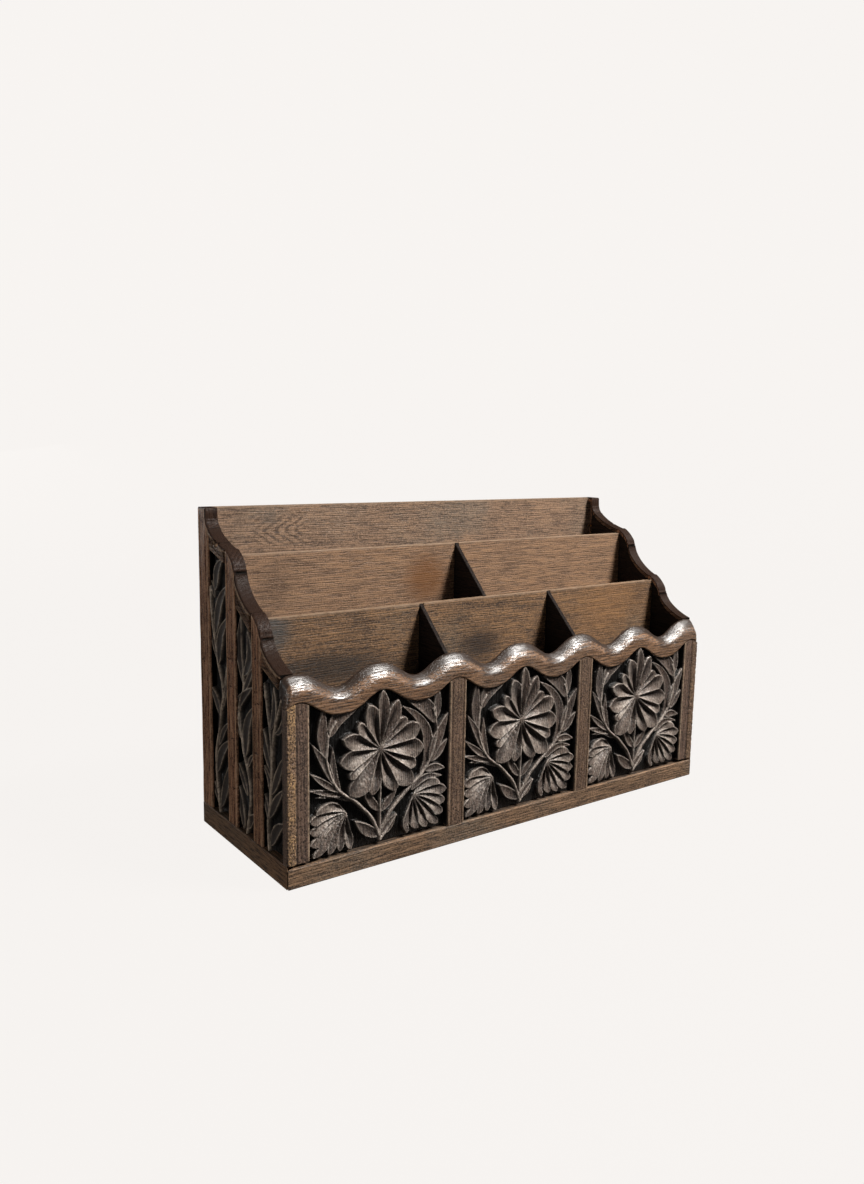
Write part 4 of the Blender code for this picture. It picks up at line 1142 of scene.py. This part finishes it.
def softened(node, look, width):
    """A copy of a CAD piece with its joinery kept and its edges rounded over."""
    shape = bmesh.new()
    shape.from_mesh(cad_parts[node].data)
    bmesh.ops.transform(shape, matrix=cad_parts[node].matrix_world, verts=shape.verts)
    bmesh.ops.remove_doubles(shape, verts=shape.verts, dist=0.000002)
    bmesh.ops.dissolve_limit(shape, angle_limit=math.radians(1.0), verts=shape.verts, edges=shape.edges)
    mesh = bpy.data.meshes.new(node)
    shape.to_mesh(mesh)
    shape.free()
    for layer in list(mesh.color_attributes):
        mesh.color_attributes.remove(layer)
    piece = add_piece(node + "_softened", mesh, node, LOOKS[look])
    bevel = piece.modifiers.new("soft_edges", "BEVEL")
    bevel.width = width
    bevel.segments = 2
    bevel.limit_method = "ANGLE"
    bevel.angle_limit = math.radians(40)
    bevel.harden_normals = False


def make_boards():
    for node, look in (("back_board", "back"), ("rear_divider", "rear"), ("front_divider", "front")):
        softened(node, look, 0.5 * MM)
    for row in ("middle_row", "front_row_left", "front_row_right"):
        softened(row + "_partition", "partition", 0.4 * MM)
    softened("front_bottom_rail", "frame_x", 0.8 * MM)
    for side in ("left", "right"):
        softened(side + "_bottom_rail", "frame_y", 0.8 * MM)


def repaint():
    """New finishes on the CAD pieces that stay as they are."""
    for node in ("front_liner", "left_liner", "right_liner"):
        repaint_node(node, LOOKS["liner"])
    repaint_node("base_board", LOOKS["base"])
    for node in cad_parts:
        if "_pin_" in node:
            repaint_node(node, LOOKS["brass"])


def repaint_node(node, material):
    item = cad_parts[node]
    if not item.material_slots:
        item.data.materials.append(material)
    for holder in item.material_slots:
        holder.material = material


# ---------------------------------------------------------------- putting the rack together

# Along the side walls, as distances from the back in millimetres
STILE_END = 12.9
REAR_MULLION = (35.0, 46.2)
FRONT_MULLION = (65.6, 76.0)
POST_START = 96.2
SIDE_BAYS = (  # name, start, end, heights of the upper edge at both ends, vines, leaves
    ("rear", STILE_END, REAR_MULLION[0], (158.0, 151.5), REAR_VINES, REAR_LEAVES),
    ("middle", REAR_MULLION[1], FRONT_MULLION[0], (131.5, 119.0), MIDDLE_VINES, MIDDLE_LEAVES),
    ("front", FRONT_MULLION[1], POST_START, (105.5, 97.0), FRONT_SIDE_VINES, FRONT_SIDE_LEAVES),
)
SIDE_UPRIGHTS = (  # name, start, end, cracks
    ("back_stile", 0.0, STILE_END, [(4, 96, 2.2), (9, 52, 1.8)]),
    ("rear_mullion", *REAR_MULLION, [(40, 103, 4), (39.5, 88, 2.6), (41, 60, 3.4), (40, 49, 2.4),
                                     (41, 129, 2.2), (43, 33, 1.8)]),
    ("front_mullion", *FRONT_MULLION, [(69.5, 92, 2.8), (71, 86, 3.6), (69, 60, 2.8), (71.5, 48, 3.6),
                                       (70, 109, 2.0)]),
)


def make_side(prefix, place, seed):
    for index, (name, start, end, spots) in enumerate(SIDE_UPRIGHTS):
        make_upright(prefix + name, place, start * MM, end * MM, spots, seed + 3 * index)
    edges = [[(start * MM, heights[0] * MM), (end * MM, heights[1] * MM)]
             for _, start, end, heights, _, _ in SIDE_BAYS]
    for index, (name, start, end, *_) in enumerate(SIDE_BAYS):
        last = DEPTH - WALL_T if name == "front" else end * MM
        make_spandrel(prefix + name + "_spandrel", place, start * MM, last, edges[index], name == "rear",
                      seed + 9 + index)
    rail_end = float(wave(HALF_W, WAVE_BOTTOM))
    edges[-1] += [((POST_START + 0.05) * MM, rail_end), (DEPTH, rail_end)]
    for index, (name, start, end, _, vines, leaves) in enumerate(SIDE_BAYS):
        last = DEPTH - FRAME_T if name == "front" else end * MM
        carve_side_bay(prefix + name + "_carved_panel", place, start * MM, last, edges[index], vines, leaves,
                       seed + 12 + 2 * index)


def make_front():
    make_wave_rail()
    make_post("front_left_post", -1)
    make_post("front_right_post", 1)
    make_front_mullion("front_left_mullion")
    make_front_mullion("front_right_mullion")
    for word, centre, seed in (("left", -BAY_PITCH, 101), ("centre", 0.0, 111), ("right", BAY_PITCH, 121)):
        carve_front_bay("front_carved_panel_" + word, centre, seed)


# ---------------------------------------------------------------- camera, floor and light

AZIMUTH = math.radians(-36.05)
ELEVATION = math.radians(8.84)
ROLL = math.radians(1.0)
DISTANCE = 0.574
SLIDE = (-0.0232, 0.0574)
TARGET = Vector((0.0, 0.0, 0.07))
LENS = 28.57


def make_camera():
    back = Vector((math.sin(AZIMUTH) * math.cos(ELEVATION), -math.cos(AZIMUTH) * math.cos(ELEVATION),
                   math.sin(ELEVATION)))
    right = (-back).cross(Vector((0, 0, 1))).normalized()
    up = right.cross(-back)
    rolled_right = right * math.cos(ROLL) + up * math.sin(ROLL)
    rolled_up = up * math.cos(ROLL) - right * math.sin(ROLL)
    data = bpy.data.cameras.new("photo_view")
    data.lens = LENS
    data.sensor_width = 36.0
    camera = bpy.data.objects.new("photo_view", data)
    turn = Matrix((rolled_right, rolled_up, back)).transposed().to_4x4()
    place = TARGET + back * DISTANCE + right * SLIDE[0] + up * SLIDE[1]
    camera.matrix_world = Matrix.Translation(place) @ turn
    bpy.context.scene.collection.objects.link(camera)
    bpy.context.scene.camera = camera


def make_studio():
    """A round sweep with a flat floor, so that the background is even from every side."""
    radius = 2.4
    bend = 1.2
    profile = [(0.0, 0.0), (radius - bend, 0.0)]
    for step in range(1, 17):
        turn = math.pi / 2 * step / 16
        profile.append((radius - bend + bend * math.sin(turn), bend - bend * math.cos(turn)))
    profile.append((radius, 3.2))
    shape = bmesh.new()
    line = [shape.verts.new((x, 0, z)) for x, z in profile]
    edges = [shape.edges.new(pair) for pair in zip(line, line[1:])]
    bmesh.ops.spin(shape, geom=line + edges, cent=(0, 0, 0), axis=(0, 0, 1), angle=2 * math.pi, steps=64,
                   use_merge=True)
    bmesh.ops.remove_doubles(shape, verts=shape.verts, dist=0.00001)
    bmesh.ops.recalc_face_normals(shape, faces=shape.faces)
    mesh = bpy.data.meshes.new("studio_sweep")
    shape.to_mesh(mesh)
    shape.free()
    mesh.shade_smooth()
    sweep = bpy.data.objects.new("studio_sweep", mesh)
    bpy.context.scene.collection.objects.link(sweep)
    paint = Paint("studio_paper")
    glow = paint.range(paint.length(paint.where), 0.2, 2.6, 0.925, 0.945)
    paint.set(Base_Color=(0.01, 0.01, 0.01, 1.0), Roughness=1.0, Specular_IOR_Level=0.0,
              Emission_Color=(0.985, 0.955, 0.93, 1.0), Emission_Strength=glow)
    mesh.materials.append(paint.material)
    sweep.visible_diffuse = False
    sweep.visible_glossy = False
    world = bpy.data.worlds.new("studio_world")
    world.use_nodes = True
    world.node_tree.nodes["Background"].inputs["Color"].default_value = (0.98, 0.95, 0.90, 1.0)
    world.node_tree.nodes["Background"].inputs["Strength"].default_value = 0.02
    bpy.context.scene.world = world


def softbox(name, azimuth, elevation, distance, size, power, colour=(1.0, 0.97, 0.93)):
    """A rectangular lamp aimed at the rack, placed by its bearing from straight in front, in degrees."""
    turn = math.radians(azimuth)
    rise = math.radians(elevation)
    aim = Vector((0, 0, 0.09))
    away = Vector((math.sin(turn) * math.cos(rise), -math.cos(turn) * math.cos(rise), math.sin(rise)))
    data = bpy.data.lights.new(name, "AREA")
    data.shape = "RECTANGLE"
    data.size = size[0]
    data.size_y = size[1]
    data.energy = power
    data.color = colour
    lamp = bpy.data.objects.new(name, data)
    lamp.matrix_world = (Matrix.Translation(aim + away * distance)
                         @ (-away).to_track_quat("-Z", "Y").to_matrix().to_4x4())
    lamp.visible_camera = False
    bpy.context.scene.collection.objects.link(lamp)


def make_lights():
    softbox("key", 42, 50, 1.3, (0.36, 0.26), 36)
    softbox("front_fill", -20, 20, 1.8, (0.8, 0.6), 1.0)
    softbox("back_fill", 188, 6, 1.8, (1.0, 0.5), 9)
    softbox("left_fill", -84, 3, 1.6, (0.8, 0.4), 6.5)


bpy.context.scene.view_settings.view_transform = "Standard"
repaint()
make_boards()
make_front()
make_side("left_", on_left, 60)
make_side("right_", on_right, 80)
make_camera()
make_studio()
make_lights()
